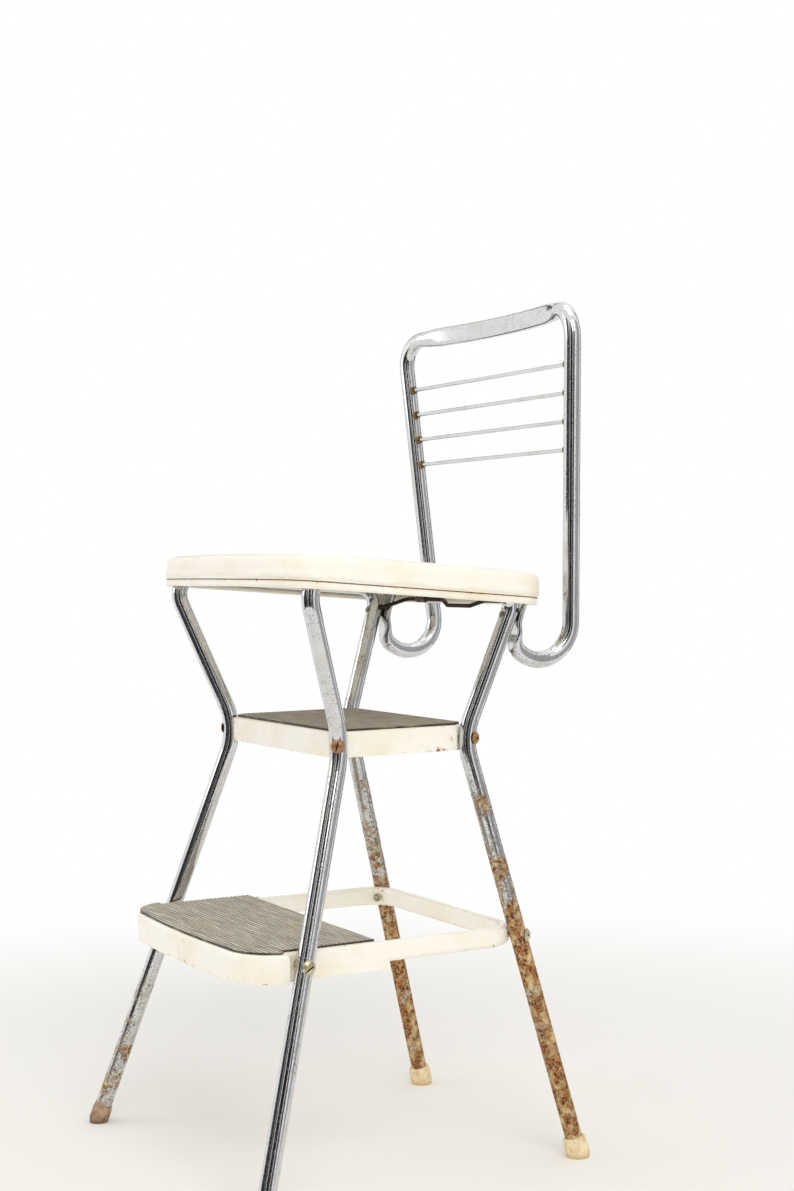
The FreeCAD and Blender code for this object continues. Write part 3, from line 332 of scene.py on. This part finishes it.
def stove_enamel(name, edge_height, seam=False, worn_at=()):
    """Cream enamel sprayed and baked on sheet steel: glossy, yellowed in clouds.

    It is chipped to the rust by its edges and at the worn spots. The fine peel of the sprayed
    coat is drawn coarser than the real one, so that it shows.
    """
    steps = bpy.context.scene.stool_steps
    metal = bpy.context.scene.stool_metal
    material, tree = new_material(name)
    place = (add_node(tree, "TexCoord"), "Object")
    clouds = speckle(tree, place, 70 * MM, 0.45, 0.75)
    aged = add_node(tree, "Mix", {FACTOR: (clouds, 0), TINT_A: steps.enamel,
                                  TINT_B: steps.enamel_aged},
                    data_type="RGBA")
    edge = edge_wear(tree, place, edge_height, seam)
    noise = add_node(tree, "TexNoise", {"Vector": place, "Scale": 1 / (11.1 * MM), "Detail": 8.0,
                                        "Roughness": 0.7})
    raised = add_node(tree, "Math", {0: (noise, "Fac"), 1: (edge, 0)}, operation="ADD")
    for spot in worn_at:
        away = add_node(tree, "VectorMath", {0: place, 1: spot}, operation="DISTANCE")
        near = add_node(tree, "MapRange", {"Value": (away, "Value"), "From Min": 45 * MM,
                                           "From Max": 5 * MM, "To Max": 0.09})
        raised = add_node(tree, "Math", {0: (raised, 0), 1: (near, 0)}, operation="ADD")
    chips = add_node(tree, "MapRange", {"Value": (raised, 0), "From Min": 0.70,
                                        "From Max": 0.735})
    stain = add_node(tree, "MapRange", {"Value": (raised, 0), "From Min": 0.62,
                                        "From Max": 0.75, "To Max": 0.45})
    rust = rust_colour(tree, place, metal)
    stained = add_node(tree, "Mix", {FACTOR: (stain, 0), TINT_A: (aged, MIXED),
                                     TINT_B: linear("DDAE72")},
                       data_type="RGBA")
    tint = add_node(tree, "Mix", {FACTOR: (chips, 0), TINT_A: (stained, MIXED),
                                  TINT_B: (rust, MIXED)},
                    data_type="RGBA")
    rough = add_node(tree, "Mix", {FACTOR: (chips, 0), LEVEL_A: 0.24, LEVEL_B: 0.8},
                     data_type="FLOAT")
    peel = add_node(tree, "TexNoise", {"Vector": place, "Scale": 1 / (2.63 * MM), "Detail": 2.0})
    sunk = add_node(tree, "Math", {0: (peel, "Fac"), 1: (chips, 0)}, operation="SUBTRACT")
    bump = add_node(tree, "Bump", {"Height": (sunk, 0), "Strength": 0.12, "Distance": 0.3 * MM})
    shader = add_node(tree, "BsdfPrincipled", {"Base Color": (tint, MIXED), "Roughness": (rough, 0),
                                               "Normal": (bump, 0), "IOR": 1.52})
    close_material(tree, shader)
    return material


def tread_rubber(name, top_height, top_colour):
    """Moulded tread rubber: matt brown grey, dusty, ribs scuffed paler, paint specks, grooves in
    painted shade.
    """
    steps = bpy.context.scene.stool_steps
    material, tree = new_material(name)
    place = (add_node(tree, "TexCoord"), "Object")
    axes = add_node(tree, "SeparateXYZ", {0: place})
    # Painted shade: the grooves take the dark groove colour, the rubber's own darker tone with
    # shade painted in.
    on_top = add_node(tree, "MapRange", {"Value": (axes, "Z"),
                                         "From Min": top_height - 0.7 * steps.rib_height,
                                         "From Max": top_height - 0.05 * steps.rib_height})
    # One streak of the scuffs is 37 mm long and 3.7 mm wide, so in drawn out places it measures 1.
    drawn = add_node(tree, "Mapping", {"Vector": place, "Scale": (1 / (37.0 * MM), 1 / (3.70 * MM),
                                                                  1 / (5.56 * MM))})
    streaks = add_node(tree, "TexNoise", {"Vector": (drawn, 0), "Scale": 1.0, "Detail": 5.0,
                                          "Roughness": 0.65})
    worn = add_node(tree, "MapRange", {"Value": (streaks, "Fac"), "From Min": 0.34,
                                       "From Max": 0.68, "To Min": 0.4, "To Max": 1.0})
    scuff_and_groove_shade = add_node(tree, "Math", {0: (worn, 0), 1: (on_top, 0)}, operation="MULTIPLY")
    base = add_node(tree, "Mix", {FACTOR: (scuff_and_groove_shade, 0), TINT_A: steps.groove, TINT_B: top_colour},
                    data_type="RGBA")
    dust = speckle(tree, place, 26 * MM, 0.5, 0.8)
    dusty = add_node(tree, "Mix", {FACTOR: (dust, 0), TINT_A: (base, MIXED),
                                   TINT_B: linear("B0A48D")},
                     data_type="RGBA")
    specks = speckle(tree, (drawn, 0), 0.66, 0.66, 0.72, 6.0)
    tint = add_node(tree, "Mix", {FACTOR: (specks, 0), TINT_A: (dusty, MIXED),
                                  TINT_B: linear("D8CFBA")},
                    data_type="RGBA")
    fine = add_node(tree, "TexNoise", {"Vector": place, "Scale": 1 / (1.11 * MM), "Detail": 2.0})
    bump = add_node(tree, "Bump", {"Height": (fine, "Fac"), "Strength": 0.25,
                                   "Distance": 0.2 * MM})
    shader = add_node(tree, "BsdfPrincipled", {"Base Color": (tint, MIXED), "Roughness": 0.72,
                                               "Normal": (bump, 0)})
    close_material(tree, shader)
    return material


def foot_rubber(name, fresh, darker_tone):
    """Moulded crutch tip rubber: matt and dented, dirty in clouds, and darker towards the floor."""
    material, tree = new_material(name)
    place = (add_node(tree, "TexCoord"), "Object")
    clouds = speckle(tree, place, 9 * MM, 0.38, 0.7)
    axes = add_node(tree, "SeparateXYZ", {0: place})
    # Darker over the lowest 9 mm, towards the floor.
    low = add_node(tree, "MapRange", {"Value": (axes, "Z"), "From Min": 9 * MM, "From Max": 0.0})
    darkening = add_node(tree, "Math", {0: (clouds, 0), 1: (low, 0)}, operation="MAXIMUM")
    tint = add_node(tree, "Mix", {FACTOR: (darkening, 0), TINT_A: linear(fresh), TINT_B: linear(darker_tone)},
                    data_type="RGBA")
    dents = add_node(tree, "TexNoise", {"Vector": place, "Scale": 1 / (3.12 * MM), "Detail": 4.0})
    bump = add_node(tree, "Bump", {"Height": (dents, "Fac"), "Strength": 0.4,
                                   "Distance": 0.5 * MM})
    shader = add_node(tree, "BsdfPrincipled", {"Base Color": (tint, MIXED), "Roughness": 0.6,
                                               "Normal": (bump, 0)})
    close_material(tree, shader)
    return material


def upholstery_vinyl(name):
    """Calendered upholstery vinyl: half glossy cream, yellowed in clouds, stained by its hem.

    Its leather grain is drawn coarser than the real one, so that it shows.
    """
    seat = bpy.context.scene.stool_seat
    material, tree = new_material(name)
    place = (add_node(tree, "TexCoord"), "Object")
    clouds = speckle(tree, place, 60 * MM, 0.48, 0.8)
    aged = add_node(tree, "Mix", {FACTOR: (clouds, 0), TINT_A: seat.vinyl,
                                  TINT_B: seat.vinyl_aged},
                    data_type="RGBA")
    above = add_node(tree, "VectorMath", {0: place, 1: SEAT_NORMAL}, operation="DOT_PRODUCT")
    mark = HINGE_LEVEL + SEAM
    edge = add_node(tree, "MapRange", {"Value": (above, "Value"), "From Min": mark + 6 * MM,
                                       "From Max": mark, "To Min": -0.2, "To Max": 0.12})
    noise = add_node(tree, "TexNoise", {"Vector": place, "Scale": 1 / (35.7 * MM), "Detail": 6.0,
                                        "Roughness": 0.62})
    raised = add_node(tree, "Math", {0: (noise, "Fac"), 1: (edge, 0)}, operation="ADD")
    stain = add_node(tree, "MapRange", {"Value": (raised, 0), "From Min": 0.56,
                                        "From Max": 0.80, "To Max": 0.7})
    stained = add_node(tree, "Mix", {FACTOR: (stain, 0), TINT_A: (aged, MIXED),
                                     TINT_B: linear("C98345")},
                       data_type="RGBA")
    cells = add_node(tree, "TexVoronoi", {"Vector": place, "Scale": 1 / (1.61 * MM)})
    soft = add_node(tree, "TexNoise", {"Vector": place, "Scale": 1 / (22.2 * MM), "Detail": 3.0})
    grain = add_node(tree, "Math", {0: (soft, "Fac"), 1: 3.0, 2: (cells, "Distance")},
                     operation="MULTIPLY_ADD")
    bump = add_node(tree, "Bump", {"Height": (grain, 0), "Strength": 0.22,
                                   "Distance": 0.25 * MM})
    shader = add_node(tree, "BsdfPrincipled", {"Base Color": (stained, MIXED), "Roughness": 0.42,
                                               "Normal": (bump, 0), "IOR": 1.5})
    close_material(tree, shader)
    return material


def aged_steel(name, base, marks, metallic, roughness):
    """Turned, drawn or pressed steel with thin plate, oxide or rust of one colour.

    Marks of a second colour break it up, and painted shade darkens its corners and slots where
    they are occluded. It also makes the cushion's dark seam: painted shade of the gap, grime and
    rust.
    """
    material, tree = new_material(name)
    place = (add_node(tree, "TexCoord"), "Object")
    spots = speckle(tree, place, 3.5 * MM, 0.42, 0.66)
    mottled = add_node(tree, "Mix", {FACTOR: (spots, 0), TINT_A: linear(base),
                                     TINT_B: linear(marks)},
                       data_type="RGBA")
    # Painted shade: ambient occlusion darkens corners and slots, such as a screw's slot, to a dark
    # brown.
    painted_shade_ao = add_node(tree, "AmbientOcclusion", {"Distance": 2.5 * MM}, samples=8)
    darkening = add_node(tree, "MapRange", {"Value": (painted_shade_ao, "AO"), "From Min": 0.80,
                                       "From Max": 0.45})
    tint = add_node(tree, "Mix", {FACTOR: (darkening, 0), TINT_A: (mottled, MIXED),
                                  TINT_B: linear("2A1C12")},
                    data_type="RGBA")
    rough = add_node(tree, "MapRange", {"Value": (spots, 0), "To Min": roughness,
                                        "To Max": min(1.0, roughness + 0.3)})
    fine = add_node(tree, "TexNoise", {"Vector": place, "Scale": 1 / (1.43 * MM), "Detail": 3.0})
    bump = add_node(tree, "Bump", {"Height": (fine, "Fac"), "Strength": 0.3,
                                   "Distance": 0.15 * MM})
    shader = add_node(tree, "BsdfPrincipled", {"Base Color": (tint, MIXED), "Metallic": metallic,
                                               "Roughness": (rough, 0), "Normal": (bump, 0)})
    close_material(tree, shader)
    return material


# Mesh helpers

def clear_selection():
    """Leave edit mode and deselect everything."""
    if bpy.context.object and bpy.context.object.mode != "OBJECT":
        bpy.ops.object.mode_set(mode="OBJECT")
    bpy.ops.object.select_all(action="DESELECT")


def work_on(piece):
    """Make one piece active and selected, alone."""
    clear_selection()
    piece.select_set(True)
    bpy.context.view_layer.objects.active = piece


def name_piece(name):
    """Name the object that an operator has just made."""
    piece = bpy.context.object
    piece.name = name
    piece.data.name = name
    return piece


def copy_of_node(node, name):
    """A new piece with a CAD node's surface, its loose triangles merged."""
    source = frame["nodes"][node]
    piece = bpy.data.objects.new(name, source.data.copy())
    bpy.context.collection.objects.link(piece)
    piece.matrix_world = source.matrix_world
    piece.data.materials.clear()
    work_on(piece)
    bpy.ops.object.mode_set(mode="EDIT")
    bpy.ops.mesh.select_all(action="SELECT")
    bpy.ops.mesh.remove_doubles(threshold=0.01 * MM)
    bpy.ops.object.mode_set(mode="OBJECT")
    return piece


def select_vertices(piece, test):
    """In edit mode, select the vertices whose place passes the test."""
    bpy.ops.mesh.select_mode(type="VERT")
    bpy.ops.mesh.select_all(action="DESELECT")
    mesh = bmesh.from_edit_mesh(piece.data)
    for vertex in mesh.verts:
        vertex.select = test(vertex.co)
    mesh.select_flush_mode()
    bmesh.update_edit_mesh(piece.data)


def apply_modifier(piece, kind, **settings):
    """Add a modifier, set it and apply it."""
    work_on(piece)
    modifier = piece.modifiers.new(kind.lower(), kind)
    for key, value in settings.items():
        setattr(modifier, key, value)
    bpy.ops.object.modifier_apply(modifier=modifier.name)


def settle(piece, body, material, angle=35.0):
    """Give a finished piece its place in its mesh, its shading, its material and its body."""
    work_on(piece)
    bpy.ops.object.transform_apply(location=True, rotation=True, scale=True)
    bpy.ops.object.shade_smooth_by_angle(angle=math.radians(angle))
    piece.data.materials.clear()
    piece.data.materials.append(material)
    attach(piece, body)


def dress(material, *nodes):
    """Give CAD nodes a finer material in all their slots."""
    for node in nodes:
        piece = frame["nodes"][node]
        if not piece.material_slots:
            piece.data.materials.append(material)
        for place in piece.material_slots:
            place.material = material


def pan_outline(name, height, inset):
    """The outline of the seat pan drawn in by an inset, at a height over the hinge line.

    The foam has the pan's outline, so it is cut just over its lower face.
    """
    piece = copy_of_node("seat_pad", name)
    low = min((SEAT_PLACE.inverted() @ vertex.co).z for vertex in piece.data.vertices)
    cut = low + 1.0 * MM
    wide, deep, _ = piece.dimensions
    bpy.ops.object.mode_set(mode="EDIT")
    bpy.ops.mesh.select_all(action="SELECT")
    bpy.ops.mesh.bisect(plane_co=SEAT_PLACE @ Vector((0, 0, cut)), plane_no=SEAT_NORMAL,
                        clear_inner=True, clear_outer=True)
    bpy.ops.mesh.select_all(action="SELECT")
    bpy.ops.transform.translate(value=SEAT_NORMAL * (height - cut))
    bpy.ops.transform.resize(value=(1 - 2 * inset / wide, 1 - 2 * inset / deep, 1),
                             center_override=SEAT_PLACE @ Vector((0, SEAT_MIDDLE, height)))
    bpy.ops.object.mode_set(mode="OBJECT")
    return piece


def bead(name, height, radius, inset):
    """A round bead along the outline of the seat pan, at a height over the hinge line."""
    pan_outline(name, height, inset)
    bpy.ops.object.convert(target="CURVE")
    piece = bpy.context.object
    piece.data.bevel_depth = radius
    piece.data.bevel_resolution = 3
    bpy.ops.object.convert(target="MESH")
    return name_piece(name)


# Operators

class STOOL_OT_frame(bpy.types.Operator):
    """Chrome the tubes and rods, and finish the feet, screws and hinge wire"""
    bl_idname = "stool.frame"
    bl_label = "Frame and fittings"

    def execute(self, context):
        dress(chrome_plate("Chrome plated steel tube, rusted legs", True),
              "side_frame_left", "side_frame_right")
        dress(chrome_plate("Chrome plated steel tube", False), "backrest_tube",
              "back_rod_1", "back_rod_2", "back_rod_3", "back_rod_4")
        dress(aged_steel("Rusted steel collars", "6E5732", "A08850", 0.5, 0.45), "rod_collars")
        dress(aged_steel("Zinc plated rivets", "B9B6AE", "8A8378", 0.9, 0.35), "back_rivets")
        dress(aged_steel("Copper brown rusted screws", "C99A6C", "8E6040", 0.8, 0.34),
              "upper_step_bolts", "upper_step_nuts")
        dress(aged_steel("Yellowed zinc screws", "DCD0B2", "94825E", 0.85, 0.32),
              "lower_step_bolts", "lower_step_nuts", "lower_step_spacers")
        dress(aged_steel("Blackened spring wire", "1E1814", "4A3020", 0.3, 0.5), "hinge_wire")
        dress(aged_steel("Dull steel strip", "8D867B", "6B4A2C", 0.8, 0.45),
              "hinge_clip_left", "hinge_clip_right")
        dress(foot_rubber("Yellowed crutch tip rubber", "F8E6BE", "D2B57E"),
              "foot_rear_left", "foot_rear_right")
        dress(foot_rubber("Worn crutch tip rubber", "B89A7C", "654A35"),
              "foot_front_left", "foot_front_right")
        return {"FINISHED"}


class STOOL_OT_steps(bpy.types.Operator):
    """Enamel the steps and the ring, and lay a ribbed rubber tread on each step"""
    bl_idname = "stool.steps"
    bl_label = "Steps and treads"

    def execute(self, context):
        # Spots where the enamel has chipped: by the screws, and low on the front of the lower step.
        worn = {
            "upper_step_pan": [(0.118, 0.075, 0.436), (-0.118, -0.065, 0.43)],
            "lower_step_pan": [(0.01, -0.189, 0.216), (0.152, -0.125, 0.22)],
            "lower_ring": [(0.14, 0.12, 0.24), (-0.14, 0.12, 0.24)],
        }
        for node, spots in worn.items():
            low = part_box(node)[0][2]
            name = "Baked cream enamel, " + node.replace("_", " ")
            dress(stove_enamel(name, low, worn_at=spots), node)
        steps = context.scene.stool_steps
        self.tread("upper_tread", "upper_step_mat", steps, steps.tread)
        # The lower tread's paler tops are partly wear and partly a painted sheen of light.
        self.tread("lower_tread", "lower_step_mat", steps, steps.tread_pale_wear_and_sheen)
        return {"FINISHED"}

    def tread(self, name, node, steps, top_colour):
        """A ribbed sheet cut to the outline of one rubber mat, its ribs along the step."""
        low, high = (Vector(corner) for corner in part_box(node))
        middle = (low + high) / 2
        groove = high.z - steps.rib_height
        ribs = max(1, round((high.y - low.y) / steps.rib_pitch))
        pitch = (high.y - low.y) / ribs
        clear_selection()
        bpy.ops.mesh.primitive_grid_add(
            x_subdivisions=1, y_subdivisions=ribs * RIB_ROWS, size=1.0,
            location=(middle.x, middle.y, groove))
        piece = name_piece(name)
        piece.scale = (high.x - low.x + TREAD_SPARE, pitch * ribs, 1.0)
        bpy.ops.object.transform_apply(location=True, rotation=True, scale=True)
        bpy.ops.object.mode_set(mode="EDIT")
        # Each rib has one row of vertices left down in the groove and the others raised.
        select_vertices(piece,
                        lambda co: round((co.y - low.y) / pitch * RIB_ROWS) % RIB_ROWS > 0)
        bpy.ops.transform.translate(value=(0, 0, steps.rib_height))
        bpy.ops.mesh.select_all(action="SELECT")
        bpy.ops.mesh.extrude_region_move(
            TRANSFORM_OT_translate={"value": (0, 0, low.z - groove)})
        select_vertices(piece, lambda co: co.z < (low.z + groove) / 2)
        bpy.ops.transform.resize(value=(1, 1, 0), center_override=(0, 0, low.z))
        bpy.ops.mesh.select_all(action="SELECT")
        bpy.ops.mesh.normals_make_consistent(inside=False)
        bpy.ops.object.mode_set(mode="OBJECT")
        # The mat stretched in height, so that it stands out over and under the ribbed sheet.
        cutter = copy_of_node(node, name + "_outline")
        bpy.ops.object.mode_set(mode="EDIT")
        bpy.ops.mesh.select_all(action="SELECT")
        bpy.ops.transform.resize(value=(1, 1, 3), center_override=middle)
        bpy.ops.object.mode_set(mode="OBJECT")
        apply_modifier(piece, "BOOLEAN", operation="INTERSECT", object=cutter, solver="EXACT")
        bpy.data.objects.remove(cutter)
        rubber = tread_rubber("Ribbed tread rubber, " + name.replace("_", " "), high.z, top_colour)
        settle(piece, "frame", rubber, angle=30.0)
        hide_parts(node)


class STOOL_OT_seat(bpy.types.Operator):
    """Pad the seat with a swollen vinyl cushion, tucked in at its rim"""
    bl_idname = "stool.seat"
    bl_label = "Padded seat"

    def execute(self, context):
        seat = context.scene.stool_seat
        vinyl = upholstery_vinyl("Cream upholstery vinyl")
        enamel = stove_enamel("Baked ivory enamel, seat pan", SEAM, seam=True)
        dress(enamel, "seat_pan")
        cushion = self.block(seat)
        self.swell(cushion, seat)
        apply_modifier(cushion, "SUBSURF", levels=1, render_levels=1)
        self.open_below(cushion)
        settle(cushion, "seat", vinyl, angle=60.0)
        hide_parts("seat_cover", "seat_pad")
        # Painted shade: the seam's dark bead stands in the gap between vinyl and pan, partly grime
        # and rust.
        darkening = aged_steel("Painted seam shade, grime and rust", "4A3220", "B5713A", 0.0, 0.8)
        seam = bead("cushion_seam", SEAM + 0.2 * MM, seat.seam, 0.0)
        settle(seam, "seat", darkening, angle=60.0)
        # The roll stands 1 mm out from the pan.
        roll = bead("seat_rim_roll", RIM + seat.rim_roll, seat.rim_roll, seat.rim_roll - 1 * MM)
        settle(roll, "seat", enamel, angle=60.0)
        return {"FINISHED"}

    def block(self, seat):
        """The cushion before it swells: the foam's block, drawn down over the sides of the pan."""
        piece = copy_of_node("seat_pad", "seat_cushion")
        piece.data.transform(SEAT_PLACE.inverted())
        low = min(vertex.co.z for vertex in piece.data.vertices)
        bpy.ops.object.mode_set(mode="EDIT")
        select_vertices(piece, lambda co: co.z < low + 0.5 * MM)
        bpy.ops.transform.translate(value=(0, 0, SEAM + HEM - low))
        bpy.ops.mesh.select_all(action="SELECT")
        wide, deep, _ = piece.dimensions
        bpy.ops.transform.resize(value=(1 + 2 * seat.margin / wide, 1 + 2 * seat.margin / deep, 1),
                                 center_override=(0, SEAT_MIDDLE, 0))
        bpy.ops.object.mode_set(mode="OBJECT")
        apply_modifier(piece, "REMESH", mode="VOXEL", voxel_size=seat.voxel)
        return piece

    def open_below(self, piece):
        """Open the cushion from below, up to the middle of the pan's sheet."""
        core = pan_outline("cushion_core", PAN_TOP - PAN_SHEET / 2, PAN_SHEET / 2)
        bpy.ops.object.mode_set(mode="EDIT")
        bpy.ops.mesh.select_all(action="SELECT")
        bpy.ops.mesh.edge_face_add()
        bpy.ops.mesh.extrude_region_move(
            TRANSFORM_OT_translate={"value": SEAT_NORMAL * (RIM - PAN_TOP)})
        bpy.ops.mesh.select_all(action="SELECT")
        bpy.ops.mesh.normals_make_consistent(inside=False)
        bpy.ops.object.mode_set(mode="OBJECT")
        apply_modifier(piece, "BOOLEAN", operation="DIFFERENCE", object=core, solver="EXACT")
        bpy.data.objects.remove(core)

    def swell(self, piece, seat):
        """Blow the cushion up as cloth, its hem held and each point's way capped, and crown it."""
        start = [vertex.co.copy() for vertex in piece.data.vertices]
        low = min(co.z for co in start)
        high = max(co.z for co in start)
        held = piece.vertex_groups.new(name="held")
        for index, co in enumerate(start):
            if co.z < low + HELD_BAND:
                held.add([index], 1.0, "REPLACE")
        cloth = piece.modifiers.new("cloth", "CLOTH")
        cloth.settings.vertex_group_mass = "held"
        cloth.settings.use_pressure = True
        cloth.settings.uniform_pressure_force = CLOTH_PRESSURE
        cloth.settings.effector_weights.gravity = 0.0
        cloth.point_cache.frame_start = 1
        cloth.point_cache.frame_end = CLOTH_FRAMES
        for number in range(1, CLOTH_FRAMES + 1):
            bpy.context.scene.frame_set(number)
        work_on(piece)
        bpy.ops.object.modifier_apply(modifier="cloth")
        bpy.context.scene.frame_set(1)
        piece.vertex_groups.clear()
        for vertex, before in zip(piece.data.vertices, start):
            move = vertex.co - before
            rise = (before.z - low) / (high - low)
            out = Vector((before.x / CROWN_HALF_WIDTH,
                          (before.y - SEAT_MIDDLE) / CROWN_HALF_DEPTH, 0))
            crown = seat.crown * rise * max(0.0, 1.0 - CROWN_FALL * out.length_squared)
            if move.length > SWELL_LIMIT:
                move = move * (SWELL_LIMIT / move.length)
            vertex.co = before + move + UP * crown
        piece.data.transform(SEAT_PLACE)
        piece.data.update()


class STOOL_OT_stage(bpy.types.Operator):
    """A pale floor, soft studio light and the camera at the photograph's place"""
    bl_idname = "stool.stage"
    bl_label = "Stage and camera"

    def execute(self, context):
        self.floor()
        self.world(context)
        self.lights()
        self.cards()
        self.camera(context)
        context.scene.view_settings.view_transform = "Standard"
        return {"FINISHED"}

    def floor(self):
        """A pale floor that fades to the white backdrop from 0.55 to 1.5 m away from the chair."""
        clear_selection()
        bpy.ops.mesh.primitive_grid_add(x_subdivisions=8, y_subdivisions=8, size=40.0,
                                        location=(0, 0, 0))
        floor = name_piece("studio_floor")
        material, tree = new_material("Pale studio floor")
        place = (add_node(tree, "TexCoord"), "Object")
        reach = add_node(tree, "VectorMath", {0: place}, operation="LENGTH")
        far = add_node(tree, "MapRange", {"Value": (reach, "Value"), "From Min": 0.55,
                                          "From Max": 1.5}, interpolation_type="SMOOTHSTEP")
        matt = add_node(tree, "BsdfDiffuse", {"Color": linear("F8F6F1")})
        white = add_node(tree, "Emission", {"Color": linear("FFFFFF"), "Strength": 1.0})
        path = add_node(tree, "LightPath")
        seen = add_node(tree, "Math", {0: (path, "Is Camera Ray"), 1: (path, "Is Glossy Ray")},
                        operation="MAXIMUM")
        away = add_node(tree, "Math", {0: (far, 0), 1: (seen, 0)}, operation="MULTIPLY")
        shader = add_node(tree, "MixShader", {0: (away, 0), 1: (matt, 0), 2: (white, 0)})
        close_material(tree, shader)
        floor.data.materials.append(material)

    def world(self, context):
        """Pure white to the camera and in reflections, and a softer light on the chair itself."""
        world = bpy.data.worlds.new("Studio")
        context.scene.world = world
        world.use_nodes = True
        tree = world.node_tree
        tree.nodes.clear()
        path = add_node(tree, "LightPath")
        direct = add_node(tree, "Math", {0: (path, "Is Camera Ray"), 1: (path, "Is Glossy Ray")},
                          operation="MAXIMUM")
        clear = add_node(tree, "Math", {0: (direct, 0), 1: (path, "Is Transmission Ray")},
                         operation="MAXIMUM")
        strength = add_node(tree, "MapRange", {"Value": (clear, 0), "To Min": 0.74,
                                               "To Max": 1.0})
        shine = add_node(tree, "Background", {"Color": linear("FFFFFF"),
                                              "Strength": (strength, 0)})
        add_node(tree, "OutputWorld", {"Surface": (shine, 0)})

    def lights(self):
        """Soft boxes: a large key on the right, a fill in front and a weak one above."""
        middle = Vector((0, 0, 0.5))
        boxes = (
            ("key_light", (2.6, -0.6, 2.6), 1.8, 32.0),
            ("fill_light", (-1.6, -2.8, 1.8), 1.8, 12.0),
            ("top_light", (0.0, 0.4, 3.2), 2.2, 7.0),
        )
        for name, place, width, power in boxes:
            lamp = bpy.data.lights.new(name, "AREA")
            lamp.size = width
            lamp.energy = power
            light = bpy.data.objects.new(name, lamp)
            bpy.context.collection.objects.link(light)
            turn = (middle - Vector(place)).to_track_quat("-Z", "Y").to_matrix().to_4x4()
            light.matrix_world = Matrix.Translation(place) @ turn

    def cards(self):
        """Grey cards that give the chrome its dark bands, each by its direction, width and tone."""
        cards = (
            ("card_1", -8.0, 0.55, "4E4D4B"),
            ("card_2", -38.0, 0.85, "282829"),
            ("card_3", -66.0, 0.45, "4B4B4A"),
            ("card_4", -94.0, 1.05, "363636"),
            ("card_5", 96.0, 0.45, "4A4A49"),
            ("card_6", 168.0, 0.40, "4A4A49"),
            ("card_7", 46.0, 1.35, "AEB0B2"),
        )
        for name, degrees, width, tone in cards:
            material, tree = new_material("Studio " + name)
            close_material(tree, add_node(tree, "Emission", {"Color": linear(tone)}))
            clear_selection()
            bpy.ops.mesh.primitive_plane_add(size=1.0)
            card = name_piece(name)
            angle = math.radians(degrees)
            out = Vector((math.cos(angle), math.sin(angle), 0))
            slope = (out * CARD_LEAN + UP).normalized()
            side = out.cross(UP)
            turn = Matrix((side, slope, side.cross(slope))).transposed().to_4x4()
            place = Matrix.Translation(out * CARD_REACH + UP * (CARD_HEIGHT / 2))
            tall = CARD_HEIGHT * math.hypot(1.0, CARD_LEAN)
            card.data.transform(place @ turn @ Matrix.Diagonal((width, tall, 1, 1)))
            card.data.materials.append(material)
            card.visible_camera = False
            card.visible_diffuse = False
            card.visible_shadow = False
            card.visible_transmission = False

    def camera(self, context):
        """The camera where the photograph was taken from."""
        lens = bpy.data.cameras.new("photo_camera")
        lens.sensor_fit = "VERTICAL"
        lens.sensor_height = 36.0
        lens.lens = FOCAL_PIXELS / IMAGE_HEIGHT * lens.sensor_height
        view = bpy.data.objects.new("photo_camera", lens)
        context.collection.objects.link(view)
        turn, tip, roll = (math.radians(angle) for angle in CAMERA_ANGLES)
        ahead = Vector((-math.sin(turn) * math.cos(tip), math.cos(turn) * math.cos(tip),
                        math.sin(tip)))
        right = Vector((math.cos(turn), math.sin(turn), 0))
        above = right.cross(ahead)
        side = right * math.cos(roll) + above * math.sin(roll)
        top = above * math.cos(roll) - right * math.sin(roll)
        # A camera looks down its own -Z.
        turned = Matrix((side, top, -ahead)).transposed().to_4x4()
        view.matrix_world = Matrix.Translation(CAMERA_PLACE) @ turned
        context.scene.camera = view


class STOOL_PT_panel(bpy.types.Panel):
    """Lists the pieces of the step stool chair and what can be changed"""
    bl_idname = "STOOL_PT_panel"
    bl_label = "Step stool chair"
    bl_space_type = "VIEW_3D"
    bl_region_type = "UI"
    bl_category = "Step stool"

    def draw(self, context):
        for group in SETTINGS:
            settings = getattr(context.scene, group)
            box = self.layout.box()
            for name in settings.__annotations__:
                box.prop(settings, name)
        for operator in OPERATORS:
            self.layout.operator(operator.bl_idname)


SETTINGS = {
    "stool_seat": SeatSettings,
    "stool_steps": StepSettings,
    "stool_metal": MetalSettings,
}
OPERATORS = (STOOL_OT_frame, STOOL_OT_steps, STOOL_OT_seat, STOOL_OT_stage)
CLASSES = (*SETTINGS.values(), *OPERATORS, STOOL_PT_panel)


def register():
    for item in CLASSES:
        bpy.utils.register_class(item)
    for name, group in SETTINGS.items():
        setattr(bpy.types.Scene, name, bpy.props.PointerProperty(type=group))


def unregister():
    for name in SETTINGS:
        delattr(bpy.types.Scene, name)
    for item in reversed(CLASSES):
        bpy.utils.unregister_class(item)


def main():
    register()
    bpy.ops.stool.frame()
    bpy.ops.stool.steps()
    bpy.ops.stool.seat()
    bpy.ops.stool.stage()


if __name__ == "__main__":
    main()
